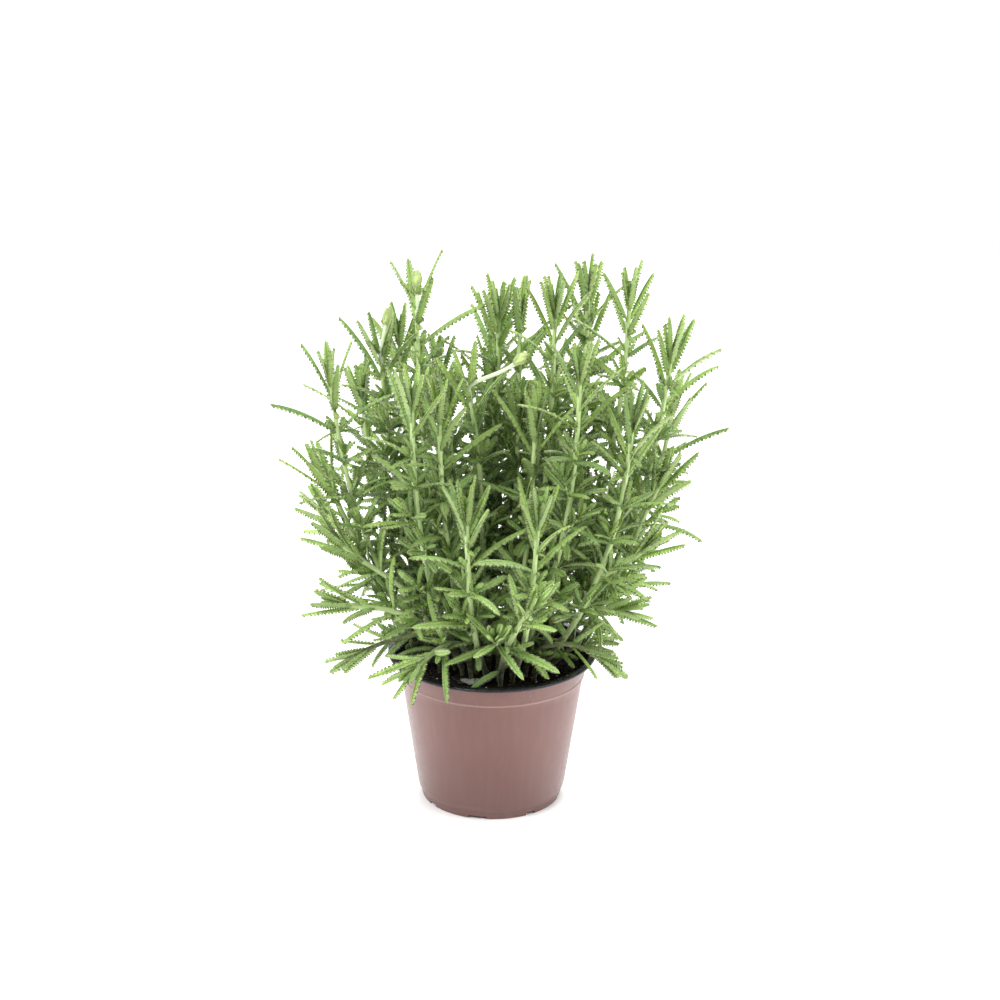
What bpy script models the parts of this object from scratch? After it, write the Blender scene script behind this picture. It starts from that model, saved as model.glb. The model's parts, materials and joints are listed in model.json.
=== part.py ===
"""Potted toothed-leaf lavender: a nursery pot, its soil, and a bush of rooted leafy shoots.

Metres, +Z up. The origin is the middle of the flat pad under the pot, the front is -Y.
"""

import math
import random

import bmesh
import bpy
from mathutils import Matrix, Vector

MM = 0.001
GAP = 0.3 * MM
SEED = 1853
UP = Vector((0, 0, 1))

# Pot: radii and heights of the turned wall
POT_HEIGHT = 88 * MM
POT_SIDES = 36
LIP_RADIUS = 60 * MM
LIP_THICKNESS = 2 * MM
LIP_INNER_RADIUS = 56.2 * MM
BAND_TOP_RADIUS = 57.2 * MM
BEAD_RADIUS = 53.4 * MM
BEAD_HEIGHT = 75 * MM
BAND_FOOT_HEIGHT = 78 * MM
WALL_TOP_RADIUS = 52.9 * MM
WALL_FOOT_RADIUS = 42.4 * MM
WALL = 0.9 * MM
FOOT_HEIGHT = 5 * MM
FOOT_RADIUS = 40.4 * MM
FOOT_INNER_RADIUS = 38.7 * MM
RECESS_HEIGHT = 2 * MM
FLOOR_TOP = 3.2 * MM
PAD_RADIUS = 12.5 * MM

# Drain notches in the foot, and the round holes in the recessed floor
NOTCHES = 8
NOTCH_WIDTHS = (11 * MM, 6 * MM)
NOTCH_HEIGHT = 1.7 * MM
FIRST_NOTCH = math.radians(-100.8)
DRAIN_HOLE_RADIUS = 3.2 * MM
DRAIN_CIRCLE = 32 * MM

# Soil, and the space in front of the stems that is kept free for watering
SOIL_TOP = 78 * MM
SOIL_EDGE_DROP = 1.5 * MM
SOIL_FLAT_RADIUS = 46 * MM
WATERING_LOW = Vector((0, -47, 79)) * MM
WATERING_HIGH = Vector((20, -38, 88)) * MM

# The withered leaf: a strip with raised ends, lying on the soil
DRY_LEAF_PLACE = Vector((-9, -27, 0)) * MM
DRY_LEAF_TURN = math.radians(5)
DRY_LEAF_LENGTH = 17 * MM
DRY_LEAF_HALF_WIDTH = 3.4 * MM
DRY_LEAF_THICKNESS = 0.5 * MM
DRY_LEAF_CURL = 2.6 * MM

# Stems: square in section, rooted in sockets in the soil
ROOT_DEPTH = 8 * MM
ROOT_STUB = 4 * MM
STEM_HALF_BASE = 1.3 * MM
STEM_HALF_TIP = 0.85 * MM
NODE_SWELL = 1.15
NODE_HALF_HEIGHT = 0.9 * MM
STALK_HALF = 1 * MM
LONG_STALK = 12
CROWN_HEIGHT = 2.5 * MM
ROOT_SPACING = 8.2 * MM
ROOT_REACH = 34 * MM
ROOTS_KEEP_OFF = (Vector((-13, -27, 0)) * MM, Vector((-4, -27, 0)) * MM)
PATH_STEP = 2 * MM
STEM_ROOM = 3.4 * MM
STEM_WALL_GAP = 2.4 * MM
STEM_SWAY_STEP = 1.5 * MM
STEM_TRIES = 60
LOW_SLOPE = math.radians(50)

# Leaves, counted from the tip of a shoot downwards: distance from the tip below it, length, angle
# from the stem and bend, at each pair
PAIR_DISTANCES = (2, 8, 16, 29, 46, 67, 90, 115, 140, 166, 192, 218)
PAIR_LENGTHS = (27, 34, 38, 37, 36, 35, 33, 31, 28, 26, 24, 22)
PAIR_ANGLES = (12, 21, 34, 50, 61, 68, 72, 75, 78, 80, 82, 82)
PAIR_BENDS = (5, 11, 18, 28, 34, 38, 40, 40, 36, 32, 30, 30)
LEAF_WIDTH = 4.1 * MM
LEAF_THICKNESS = 1 * MM
LEAF_ROOM = 4.6 * MM
LEAF_WALL_GAP = 1.4 * MM
SISTER_ROOM = 1.8 * MM
LEAF_STEP = 2.2 * MM
LONG_LEAF = 30 * MM
SHORTEST_LEAF = 9 * MM
LEAF_TRIES = 16
LEAST_ANGLE = math.radians(8)
MOST_ANGLE = math.radians(100)
FIRST_PAIR = 4
LIGHT_PULL = 0.18
LOW_LEAF_HEIGHT = 105 * MM
LOW_LEAF_SHARE = 0.72

# Buds
BUD_RADIUS = 3 * MM
BUD_LENGTH = 10 * MM

# Shoots: the place of the stem's tip in millimetres, and the slope of its tip in degrees, where 90
# is upright. A flower stalk has its end, from the tip, in millimetres.
FRONT_SHOOTS = (
    (-90, -5, 246, 84, None),
    (-64, 25, 256, 86, (3, 0, 18)),
    (-43, 10, 293, 90, (0, 0, 6)),
    (-44, -42, 244, 90, None),
    (-14, -12, 247, 78, (25, -10, 18)),
    (2, 28, 276, 90, None),
    (14, 20, 276, 90, None),
    (33, 4, 284, 90, None),
    (52, 34, 287, 90, None),
    (74, 8, 288, 88, None),
    (97, 0, 260, 84, None),
    (46, -36, 258, 90, None),
    (75, -32, 230, 86, None),
    (101, 28, 222, 81, None),
    (-14, -66, 188, 86, None),
    (24, -72, 188, 78, None),
    (-76, 48, 222, 84, None),
    (-94, 2, 188, 62, None),
    (-84, -18, 158, 48, None),
    (-79, -38, 130, 18, None),
    (-72, -24, 97, -28, None),
    (92, -12, 192, 66, None),
    (83, -24, 158, 46, None),
    (69, -32, 126, 16, None),
    (58, -36, 100, -24, None),
    (-40, -66, 106, -10, None),
    (20, -76, 142, 50, None),
    (2, -60, 118, 40, None),
)
BACK_SHOOTS = 11
INNER_SHOOTS = 5


def clear_scene():
    for obj in list(bpy.data.objects):
        bpy.data.objects.remove(obj)


def finish(name, color, roughness):
    material = bpy.data.materials.new(name)
    material.use_nodes = True
    shader = material.node_tree.nodes["Principled BSDF"]
    shader.inputs["Base Color"].default_value = (*color, 1)
    shader.inputs["Roughness"].default_value = roughness
    shader.inputs["Metallic"].default_value = 0
    return material


def add_object(name, bm, material, smooth=True):
    mesh = bpy.data.meshes.new(name)
    bm.to_mesh(mesh)
    bm.free()
    if smooth:
        mesh.shade_smooth()
        mesh.set_sharp_from_angle(angle=math.radians(35))
    obj = bpy.data.objects.new(name, mesh)
    bpy.context.collection.objects.link(obj)
    mesh.materials.append(material)
    return obj


def add_cutter(name, bm, target):
    mesh = bpy.data.meshes.new(name)
    bm.to_mesh(mesh)
    bm.free()
    cutter = bpy.data.objects.new(name, mesh)
    bpy.context.collection.objects.link(cutter)
    cutter.hide_render = True
    cutter.display_type = "WIRE"
    cut = target.modifiers.new(name, "BOOLEAN")
    cut.operation = "DIFFERENCE"
    cut.object = cutter


def turned(profile, sides):
    """A solid of revolution from (radius, height) points that start and end on the axis."""
    bm = bmesh.new()
    verts = [bm.verts.new((radius, 0, height)) for radius, height in profile]
    edges = [bm.edges.new(pair) for pair in zip(verts, verts[1:])]
    bmesh.ops.spin(
        bm,
        geom=verts + edges,
        axis=UP,
        cent=(0, 0, 0),
        angle=math.tau,
        steps=sides,
        use_merge=True,
    )
    bmesh.ops.remove_doubles(bm, verts=bm.verts, dist=0.00001)
    bmesh.ops.recalc_face_normals(bm, faces=bm.faces)
    return bm


def wall_radius(height):
    """The pot's inner wall at a height over its floor."""
    if height > BAND_FOOT_HEIGHT:
        share = (height - BAND_FOOT_HEIGHT) / (POT_HEIGHT - BAND_FOOT_HEIGHT)
        return (WALL_TOP_RADIUS - WALL) * (1 - share) + LIP_INNER_RADIUS * share
    share = (height - FOOT_HEIGHT) / (BAND_FOOT_HEIGHT - FOOT_HEIGHT)
    return (WALL_FOOT_RADIUS * (1 - share) + WALL_TOP_RADIUS * share) - WALL


def build_pot():
    lip_foot = POT_HEIGHT - LIP_THICKNESS
    profile = (
        (0, 0),
        (PAD_RADIUS, 0),
        (PAD_RADIUS + 1 * MM, RECESS_HEIGHT),
        (FOOT_INNER_RADIUS - 0.7 * MM, RECESS_HEIGHT),
        (FOOT_INNER_RADIUS, 0),
        (FOOT_RADIUS, 0),
        (FOOT_RADIUS + 0.8 * MM, FOOT_HEIGHT),
        (WALL_FOOT_RADIUS - 0.4 * MM, FOOT_HEIGHT + 0.8 * MM),
        (WALL_FOOT_RADIUS + 0.5 * MM, FOOT_HEIGHT + 4 * MM),
        (BEAD_RADIUS - 0.9 * MM, BEAD_HEIGHT - 0.4 * MM),
        (BEAD_RADIUS, BEAD_HEIGHT + 0.2 * MM),
        (BEAD_RADIUS, BEAD_HEIGHT + 1 * MM),
        (BAND_TOP_RADIUS, lip_foot - 0.4 * MM),
        (LIP_RADIUS - 0.5 * MM, lip_foot),
        (LIP_RADIUS, lip_foot + 0.6 * MM),
        (LIP_RADIUS - 0.5 * MM, POT_HEIGHT),
        (LIP_INNER_RADIUS, POT_HEIGHT),
        (WALL_TOP_RADIUS - WALL, BAND_FOOT_HEIGHT),
        (wall_radius(FOOT_HEIGHT), FOOT_HEIGHT),
        (wall_radius(FOOT_HEIGHT) - 1.2 * MM, FLOOR_TOP),
        (0, FLOOR_TOP),
    )
    pot = add_object("pot", turned(profile, POT_SIDES), finish("pot_plastic", (0.29, 0.16, 0.14), 0.35))

    holes = bmesh.new()
    for index in range(NOTCHES):
        angle = FIRST_NOTCH + index * math.tau / NOTCHES
        turn = Matrix.Rotation(angle, 4, "Z")
        # The notch stays under the recess, so it cuts the foot ring and not the floor
        width = NOTCH_WIDTHS[index % 2]
        notch = turn @ Matrix.Translation((FOOT_RADIUS, 0, 0)) @ Matrix.Diagonal(
            (8 * MM, width, 2 * NOTCH_HEIGHT, 1)
        )
        bmesh.ops.create_cube(holes, size=1, matrix=notch)
        drain = turn @ Matrix.Translation((DRAIN_CIRCLE, 0, FLOOR_TOP))
        bmesh.ops.create_cone(
            holes,
            cap_ends=True,
            segments=8,
            radius1=DRAIN_HOLE_RADIUS,
            radius2=DRAIN_HOLE_RADIUS,
            depth=6 * MM,
            matrix=drain,
        )
    add_cutter("drain_cutter", holes, pot)


def build_soil(roots):
    edge = SOIL_TOP - SOIL_EDGE_DROP
    floor = FLOOR_TOP + GAP
    shoulder = FOOT_HEIGHT + 1.5 * MM
    profile = (
        (0, floor),
        (wall_radius(FOOT_HEIGHT) - 2 * MM, floor),
        (wall_radius(shoulder) - GAP, shoulder),
        (wall_radius(edge) - GAP, edge),
        (SOIL_FLAT_RADIUS, SOIL_TOP),
        (0, SOIL_TOP),
    )
    soil = add_object("potting_soil", turned(profile, POT_SIDES), finish("peat", (0.02, 0.015, 0.012), 0.95))

    sockets = bmesh.new()
    side = 2 * (STEM_HALF_BASE + GAP)
    height = 2 * (ROOT_DEPTH + GAP)
    for root, phase in roots:
        place = Matrix.Translation((root.x, root.y, SOIL_TOP)) @ Matrix.Rotation(phase, 4, "Z")
        bmesh.ops.create_cube(sockets, size=1, matrix=place @ Matrix.Diagonal((side, side, height, 1)))
    add_cutter("root_cutter", sockets, soil)


def build_dry_leaf():
    """A curled scrap that lies on the soil in front: a thin strip with raised ends."""
    bm = bmesh.new()
    stations = 6
    lean = DRY_LEAF_THICKNESS
    rows = []
    for index in range(stations + 1):
        along = index / stations * 2 - 1
        half = DRY_LEAF_HALF_WIDTH * (1 - 0.75 * along * along)
        rise = SOIL_TOP + GAP + DRY_LEAF_CURL * along * along
        x = along * DRY_LEAF_LENGTH / 2
        row = (
            (x, -half, rise),
            (x, half, rise + lean),
            (x, half, rise + lean + DRY_LEAF_THICKNESS),
            (x, -half, rise + DRY_LEAF_THICKNESS),
        )
        rows.append([bm.verts.new(corner) for corner in row])
    bmesh.ops.contextual_create(bm, geom=rows[0])
    for row, following in zip(rows, rows[1:]):
        for corner in range(4):
            other = (corner + 1) % 4
            bm.faces.new((row[corner], row[other], following[other], following[corner]))
    bmesh.ops.contextual_create(bm, geom=rows[-1])
    bmesh.ops.recalc_face_normals(bm, faces=bm.faces)
    leaf = add_object("dry_leaf", bm, finish("withered_leaf", (0.3, 0.27, 0.24), 0.8))
    leaf.location = DRY_LEAF_PLACE
    leaf.rotation_euler.z = DRY_LEAF_TURN


class Crowd:
    """The places already taken by stems, leaves and buds, kept in cells for quick tests."""

    def __init__(self):
        self.cell = 6 * MM
        self.places = {}

    def key(self, point):
        return tuple(math.floor(value / self.cell) for value in point)

    def add(self, owner, kind, points):
        for point in points:
            self.places.setdefault(self.key(point), []).append((owner, kind, point))

    def near(self, point, owner, kind, room, sister_room):
        x, y, z = self.key(point)
        for i in (x - 1, x, x + 1):
            for j in (y - 1, y, y + 1):
                for k in (z - 1, z, z + 1):
                    for other, other_kind, place in self.places.get((i, j, k), ()):
                        limit = room
                        if other == owner:
                            if other_kind == "stem" or kind == "stem":
                                continue
                            limit = sister_room
                        if (place - point).length_squared < limit * limit:
                            return True
        return False


def in_watering_space(point, margin):
    low = WATERING_LOW
    high = WATERING_HIGH
    return all(low[axis] - margin < point[axis] < high[axis] + margin for axis in range(3))


def clear_of_pot(point, margin):
    """True over the lip, outside it, or in the open space between the wall and the soil's top."""
    if in_watering_space(point, margin):
        return False
    radius = math.hypot(point.x, point.y)
    if point.z > POT_HEIGHT + margin or radius > LIP_RADIUS + margin:
        return True
    return point.z > SOIL_TOP + margin and radius < wall_radius(point.z) - margin


def planned_shoots(rng):
    """All shoots from the front to the back and the inside of the bush."""
    shoots = []
    for x, y, z, slope, stalk in FRONT_SHOOTS:
        tip = Vector((x, y, z)) * MM
        shoots.append((tip, math.radians(slope), Vector(stalk) * MM if stalk else None))
    for index in range(BACK_SHOOTS):
        turn = math.radians(22 + index * 136 / (BACK_SHOOTS - 1))
        reach = (94, 62, 104, 76)[index % 4] + rng.uniform(-5, 5)
        height = (196, 262, 150, 234)[index % 4] + rng.uniform(-8, 8)
        tip = Vector((reach * math.cos(turn), reach * math.sin(turn), height)) * MM
        slope = math.radians(88 - (max(0, 240 - height)) * 0.5)
        shoots.append((tip, slope, None))
    for index in range(INNER_SHOOTS):
        turn = math.radians(40 + index * 137.5)
        reach = 18 + 7 * index
        tip = Vector((reach * math.cos(turn), reach * math.sin(turn), 226 + rng.uniform(-14, 14))) * MM
        shoots.append((tip, math.radians(88), None))
    return shoots


def root_places(shoots, rng):
    """A root for each shoot, nearer the middle than its tip and apart from the other roots."""
    roots = []
    for tip, _, _ in shoots:
        flat = Vector((tip.x, tip.y, 0))
        roots.append(flat * 0.33 + Vector((rng.uniform(-1, 1), rng.uniform(-1, 1), 0)) * MM)
    for _ in range(160):
        for first in range(len(roots)):
            for spot in ROOTS_KEEP_OFF:
                apart = roots[first] - spot
                missing = ROOT_SPACING - apart.length
                if missing > 0:
                    roots[first] += apart.normalized() * missing
            for second in range(first + 1, len(roots)):
                apart = roots[second] - roots[first]
                missing = ROOT_SPACING - apart.length
                if missing > 0:
                    push = apart.normalized() * missing * 0.5
                    roots[first] -= push
                    roots[second] += push
        for root in roots:
            if root.length > ROOT_REACH:
                root *= ROOT_REACH / root.length
    return roots


def bezier(controls, share):
    a, b, c, d = controls
    rest = 1 - share
    return a * rest**3 + b * (3 * rest * rest * share) + c * (3 * rest * share * share) + d * share**3


def even_path(controls):
    """Points about PATH_STEP apart along a Bezier curve, from its start to its end."""
    fine = [bezier(controls, index / 200) for index in range(201)]
    length = sum((b - a).length for a, b in zip(fine, fine[1:]))
    count = max(2, round(length / PATH_STEP))
    points = [fine[0].copy()]
    walked = 0.0
    for a, b in zip(fine, fine[1:]):
        walked += (b - a).length
        while len(points) < count and walked >= length * len(points) / count:
            points.append(b.copy())
    points.append(fine[-1].copy())
    return points


def stem_path(root, tip, slope, sway):
    """From the soil straight up a little, then in one curve to the tip."""
    start = Vector((root.x, root.y, SOIL_TOP + ROOT_STUB))
    outward = Vector((tip.x - root.x, tip.y - root.y, 0))
    reach = outward.length
    outward.normalize()
    heading = outward * math.cos(slope) + UP * math.sin(slope)
    span = (tip - start).length
    low = slope < LOW_SLOPE
    rise = (0.55 if low else 0.22) * span
    first = start + UP * rise + outward * (0.1 if low else 0.55) * reach + sway
    second = tip - heading * (0.3 if low else 0.45) * span + sway * 0.5
    return even_path((start, first, second, tip))


def frames_along(points, phase):
    """Tangent and two side axes at each point, carried along without twisting."""
    side = Vector((math.cos(phase), math.sin(phase), 0))
    frames = []
    for index in range(len(points)):
        ahead = points[min(index + 1, len(points) - 1)]
        behind = points[max(index - 1, 0)]
        tangent = (ahead - behind).normalized()
        side = (side - tangent * side.dot(tangent)).normalized()
        frames.append((tangent, side, tangent.cross(side)))
    return frames


class Shoot:
    """One rooted stem: its path from the soil to the tip, its leaves and its flower stalk."""

    def __init__(self, number, root, phase, plan):
        self.number = number
        self.root = root
        self.phase = phase
        self.tip, self.slope, self.stalk = plan
        self.pairs = []
        self.stalk_points = []

    def route(self, crowd, rng):
        """The stem's path, swayed aside until it is clear of the other stems and the pot."""
        for attempt in range(STEM_TRIES):
            sway = Vector((rng.uniform(-1, 1), rng.uniform(-1, 1), 0)) * STEM_SWAY_STEP * attempt
            self.points = stem_path(self.root, self.tip, self.slope, sway)
            if self.fits(crowd):
                break
        else:
            raise RuntimeError(f"shoot {self.number} finds no way up")
        self.frames = frames_along(self.points, self.phase)
        crowd.add(self.number, "stem", self.points)
        if self.stalk:
            self.route_stalk(crowd)

    def fits(self, crowd):
        return all(
            clear_of_pot(point, STEM_WALL_GAP)
            and not crowd.near(point, self.number, "stem", STEM_ROOM, 0)
            for point in self.points[2:]
        )

    def route_stalk(self, crowd):
        """A thin stalk that leaves the tip in its direction and ends under the bud."""
        end = self.tip + self.stalk
        reach = self.stalk.length
        heading = self.frames[-1][0]
        self.bud_heading = (self.stalk.normalized() + heading * 0.2).normalized()
        bow = heading * reach * 0.18
        controls = (self.tip, self.tip + bow, end - self.bud_heading * reach * 0.35, end)
        self.stalk_points = even_path(controls)
        crowd.add(self.number, "stalk", self.stalk_points)
        bud = [end + self.bud_heading * BUD_LENGTH * share for share in (0.1, 0.5, 0.9)]
        crowd.add(-self.number, "bud", bud)

    def pair_index(self, level):
        """The path point that carries the pair of this level, or None where the stem is too short."""
        index = len(self.points) - 1 - round(PAIR_DISTANCES[level] * MM / PATH_STEP)
        return index if index >= FIRST_PAIR else None


def leaf_line(root, heading, up, length, bend, count):
    """Points along a blade that bends away from its upper side, with that side's direction."""
    line = []
    for index in range(count + 1):
        turn = bend * index / count
        offset = heading * math.sin(turn) - up * (1 - math.cos(turn))
        line.append((root + offset * (length / bend), up * math.cos(turn) + heading * math.sin(turn)))
    return line


def grow_leaves(shoots, crowd, rng):
    """Pairs are placed level by level from the tips down, each leaf where it finds room."""
    for level in range(len(PAIR_DISTANCES)):
        for shoot in shoots:
            index = shoot.pair_index(level)
            if index is None:
                continue
            _, side, other = shoot.frames[index]
            axis = side if level % 2 else other
            pair = [grow_leaf(shoot, crowd, rng, level, index, axis * sign) for sign in (1, -1)]
            shoot.pairs.append((index, pair))


def grow_leaf(shoot, crowd, rng, level, index, outward):
    """A leaf as (root, heading, up, length, bend), or None where every try meets something."""
    tangent = shoot.frames[index][0]
    root = shoot.points[index] + outward * STEM_HALF_TIP
    full = PAIR_LENGTHS[level] * MM
    if root.z < LOW_LEAF_HEIGHT:
        full *= LOW_LEAF_SHARE
    for attempt in range(LEAF_TRIES):
        loose = 1 + 0.25 * attempt
        length = full * rng.uniform(0.86, 1.08) * (1 - 0.035 * attempt)
        angle = math.radians(PAIR_ANGLES[level] + rng.uniform(-7, 7) * loose)
        angle = min(max(angle, LEAST_ANGLE), MOST_ANGLE)
        yaw = math.radians(rng.uniform(-9, 9) * loose)
        bend = math.radians(PAIR_BENDS[level] * rng.uniform(0.5, 1.4))
        facing = Matrix.Rotation(yaw, 3, tangent) @ outward
        heading = tangent * math.cos(angle) + (facing + UP * LIGHT_PULL) * math.sin(angle)
        heading.normalize()
        up = tangent * math.sin(angle) - facing * math.cos(angle)
        up = (up - heading * up.dot(heading)).normalized()
        if length < SHORTEST_LEAF:
            return None
        line = leaf_line(root, heading, up, length, bend, max(3, round(length / LEAF_STEP)))
        points = [point for point, _ in line]
        free = all(
            clear_of_pot(point, LEAF_WALL_GAP)
            and not crowd.near(point, shoot.number, "leaf", LEAF_ROOM, SISTER_ROOM)
            for point in points[2:]
        )
        if free:
            crowd.add(shoot.number, "leaf", points[1:])
            return root, heading, up, length, bend
    return None


def pull(bm, face, corners):
    """Extrude one face and put its corners at the given places."""
    moved = bmesh.ops.extrude_discrete_faces(bm, faces=[face])["faces"][0]
    for vert, corner in zip(moved.verts, corners):
        vert.co = corner
    return moved


def sides_of(cap):
    """The side faces under a cap, in the order of the cap's edges."""
    return [next(face for face in edge.link_faces if face is not cap) for edge in cap.edges]


def leaf_section(center, wide, up, half_width, places):
    half_thick = LEAF_THICKNESS / 2
    return [center + wide * (half_width * x) + up * (half_thick * y) for x, y in places]


def lozenge_places(face, wide, up):
    """Which end of a lozenge each corner of a square face goes to, an eighth of a turn on."""
    middle = face.calc_center_median()
    ends = {(True, True): (1, 0), (False, True): (0, 1), (False, False): (-1, 0), (True, False): (0, -1)}
    offsets = [vert.co - middle for vert in face.verts]
    return [ends[offset.dot(wide) > 0, offset.dot(up) > 0] for offset in offsets]


def pull_leaf(bm, face, leaf):
    """A keeled blade with a lozenge section, from a face of the stem to a point."""
    root, heading, up, length, bend = leaf
    wide = heading.cross(up)
    places = lozenge_places(face, wide, up)
    line = leaf_line(root, heading, up, length, bend, 20)
    stations = ((5, 0.95), (14, 0.9)) if length > LONG_LEAF else ((9, 1),)
    for step, fullness in stations:
        point, normal = line[step]
        face = pull(bm, face, leaf_section(point, wide, normal, LEAF_WIDTH / 2 * fullness, places))
    tip, normal = line[-1]
    face = pull(bm, face, leaf_section(tip, wide, normal, LEAF_WIDTH / 20, places))
    bmesh.ops.pointmerge(bm, verts=face.verts, merge_co=tip)


def stem_half(shoot, index):
    share = index / (len(shoot.points) - 1)
    return STEM_HALF_BASE * (1 - share) + STEM_HALF_TIP * share


def stem_foot(bm, shoot):
    """The straight square end in the soil; gives its top face and each corner's side signs."""
    top = shoot.points[0]
    _, side, other = shoot.frames[0]
    bottom = SOIL_TOP - ROOT_DEPTH
    height = top.z - bottom
    place = Matrix.Translation((top.x, top.y, bottom + height / 2)) @ Matrix.Rotation(shoot.phase, 4, "Z")
    size = Matrix.Diagonal((2 * STEM_HALF_BASE, 2 * STEM_HALF_BASE, height, 1))
    bmesh.ops.create_cube(bm, size=1, matrix=place @ size)
    cap = max(bm.faces, key=lambda face: face.calc_center_median().z)
    offsets = [vert.co - top for vert in cap.verts]
    signs = [(math.copysign(1, way.dot(side)), math.copysign(1, way.dot(other))) for way in offsets]
    return cap, signs


def build_shoot(shoot, material):
    bm = bmesh.new()
    cap, signs = stem_foot(bm, shoot)

    def ring(center, frame, half):
        _, side, other = frame
        return [center + side * (half * a) + other * (half * b) for a, b in signs]

    leaves = []
    for index, pair in sorted(shoot.pairs, key=lambda item: item[0]):
        point = shoot.points[index]
        frame = shoot.frames[index]
        half = stem_half(shoot, index) * NODE_SWELL
        shift = frame[0] * NODE_HALF_HEIGHT
        cap = pull(bm, cap, ring(point - shift, frame, half))
        cap = pull(bm, cap, ring(point + shift, frame, half))
        faces = sides_of(cap)
        for leaf in filter(None, pair):
            outward = leaf[0] - point
            reach = [(face.calc_center_median() - point).dot(outward) for face in faces]
            leaves.append((faces[reach.index(max(reach))], leaf))
    if shoot.stalk_points:
        last = shoot.frames[-1]
        frames = frames_along(shoot.stalk_points, 0)
        steps = 3 if len(shoot.stalk_points) > LONG_STALK else 2
        for step in range(steps + 1):
            index = round(step / steps * (len(shoot.stalk_points) - 1))
            tangent = frames[index][0]
            side = (last[1] - tangent * last[1].dot(tangent)).normalized()
            frame = (tangent, side, tangent.cross(side))
            cap = pull(bm, cap, ring(shoot.stalk_points[index], frame, STALK_HALF))
    else:
        crown = shoot.tip + shoot.frames[-1][0] * CROWN_HEIGHT
        cap = pull(bm, cap, ring(crown, shoot.frames[-1], STEM_HALF_TIP / 4))
        bmesh.ops.pointmerge(bm, verts=cap.verts, merge_co=crown)
    for face, leaf in leaves:
        pull_leaf(bm, face, leaf)
    add_object(f"shoot_{shoot.number:02d}", bm, material, smooth=False)


def build_bud(number, shoot):
    """A young flower head: an egg that stands off the end of its stalk."""
    bm = bmesh.new()
    bmesh.ops.create_uvsphere(bm, u_segments=8, v_segments=6, radius=1)
    end = shoot.stalk_points[-1]
    middle = end + shoot.bud_heading * (BUD_LENGTH / 2 + GAP)
    turn = UP.rotation_difference(shoot.bud_heading).to_matrix().to_4x4()
    shape = Matrix.Translation(middle) @ turn @ Matrix.Diagonal((BUD_RADIUS, BUD_RADIUS, BUD_LENGTH / 2, 1))
    bmesh.ops.transform(bm, matrix=shape, verts=bm.verts)
    add_object(f"flower_bud_{number}", bm, finish(f"bud_{number}", (0.5, 0.62, 0.3), 0.6))


def main():
    clear_scene()
    rng = random.Random(SEED)
    plans = planned_shoots(rng)
    roots = root_places(plans, rng)
    crowd = Crowd()
    scrap = [DRY_LEAF_PLACE + Vector((x * MM, 0, SOIL_TOP + 1 * MM)) for x in (-4, 0, 4)]
    crowd.add(0, "scrap", scrap)
    shoots = []
    for number, (root, plan) in enumerate(zip(roots, plans), 1):
        shoot = Shoot(number, root, rng.uniform(0, math.pi / 2), plan)
        shoot.route(crowd, rng)
        shoots.append(shoot)
    grow_leaves(shoots, crowd, rng)

    build_pot()
    build_soil([(shoot.root, shoot.phase) for shoot in shoots])
    build_dry_leaf()
    buds = 0
    for shoot in shoots:
        build_shoot(shoot, finish(f"foliage_{shoot.number:02d}", (0.18, 0.27, 0.09), 0.7))
        if shoot.stalk_points:
            buds += 1
            build_bud(buds, shoot)


main()
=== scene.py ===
"""The finished look of a potted toothed-leaf lavender, built around its frame model.

Metres, +Z up. The origin is the middle of the flat pad under the pot, the front is -Y.
The shoots are planned by the same rules and the same seed as the frame's, so each stem and each
main leaf lies where its frame solid lies. The small leaves in the leaf axils are added here.
"""

import functools
import json
import math
import random

import bmesh
import bpy
from mathutils import Matrix, Vector, noise
from mathutils.geometry import intersect_point_line

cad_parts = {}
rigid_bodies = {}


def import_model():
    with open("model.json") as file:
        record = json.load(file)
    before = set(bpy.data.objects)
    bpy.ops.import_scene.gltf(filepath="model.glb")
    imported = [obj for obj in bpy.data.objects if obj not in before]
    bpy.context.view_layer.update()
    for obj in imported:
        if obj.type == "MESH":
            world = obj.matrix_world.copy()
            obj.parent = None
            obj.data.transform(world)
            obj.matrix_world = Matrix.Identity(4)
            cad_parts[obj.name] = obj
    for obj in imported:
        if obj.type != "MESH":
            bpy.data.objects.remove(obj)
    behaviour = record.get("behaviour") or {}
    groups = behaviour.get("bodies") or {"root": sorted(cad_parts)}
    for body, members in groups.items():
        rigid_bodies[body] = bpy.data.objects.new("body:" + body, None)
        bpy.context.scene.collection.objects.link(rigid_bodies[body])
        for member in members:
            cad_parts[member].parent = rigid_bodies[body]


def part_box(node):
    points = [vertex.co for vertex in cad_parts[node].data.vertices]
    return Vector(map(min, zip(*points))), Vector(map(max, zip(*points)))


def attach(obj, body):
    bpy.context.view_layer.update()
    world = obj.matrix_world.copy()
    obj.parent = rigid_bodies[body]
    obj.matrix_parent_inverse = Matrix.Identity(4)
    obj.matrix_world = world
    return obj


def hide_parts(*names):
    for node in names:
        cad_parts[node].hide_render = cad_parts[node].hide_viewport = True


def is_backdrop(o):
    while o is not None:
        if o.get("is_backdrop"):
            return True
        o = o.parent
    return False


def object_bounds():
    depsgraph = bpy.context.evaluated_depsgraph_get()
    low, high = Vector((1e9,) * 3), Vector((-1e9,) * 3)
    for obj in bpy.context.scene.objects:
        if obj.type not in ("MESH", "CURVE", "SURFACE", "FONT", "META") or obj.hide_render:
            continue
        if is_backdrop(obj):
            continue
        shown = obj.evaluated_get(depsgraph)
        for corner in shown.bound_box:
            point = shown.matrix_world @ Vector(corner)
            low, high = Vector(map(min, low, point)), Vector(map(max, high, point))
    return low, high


bl_info = {
    "name": "Potted Lavender",
    "version": (1, 0, 0),
    "blender": (4, 5, 0),
    "location": "3D View > Sidebar > Lavender",
    "description": "Finished surfaces of a toothed-leaf lavender in a nursery pot",
    "category": "Add Mesh",
}

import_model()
CAD_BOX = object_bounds()

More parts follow.
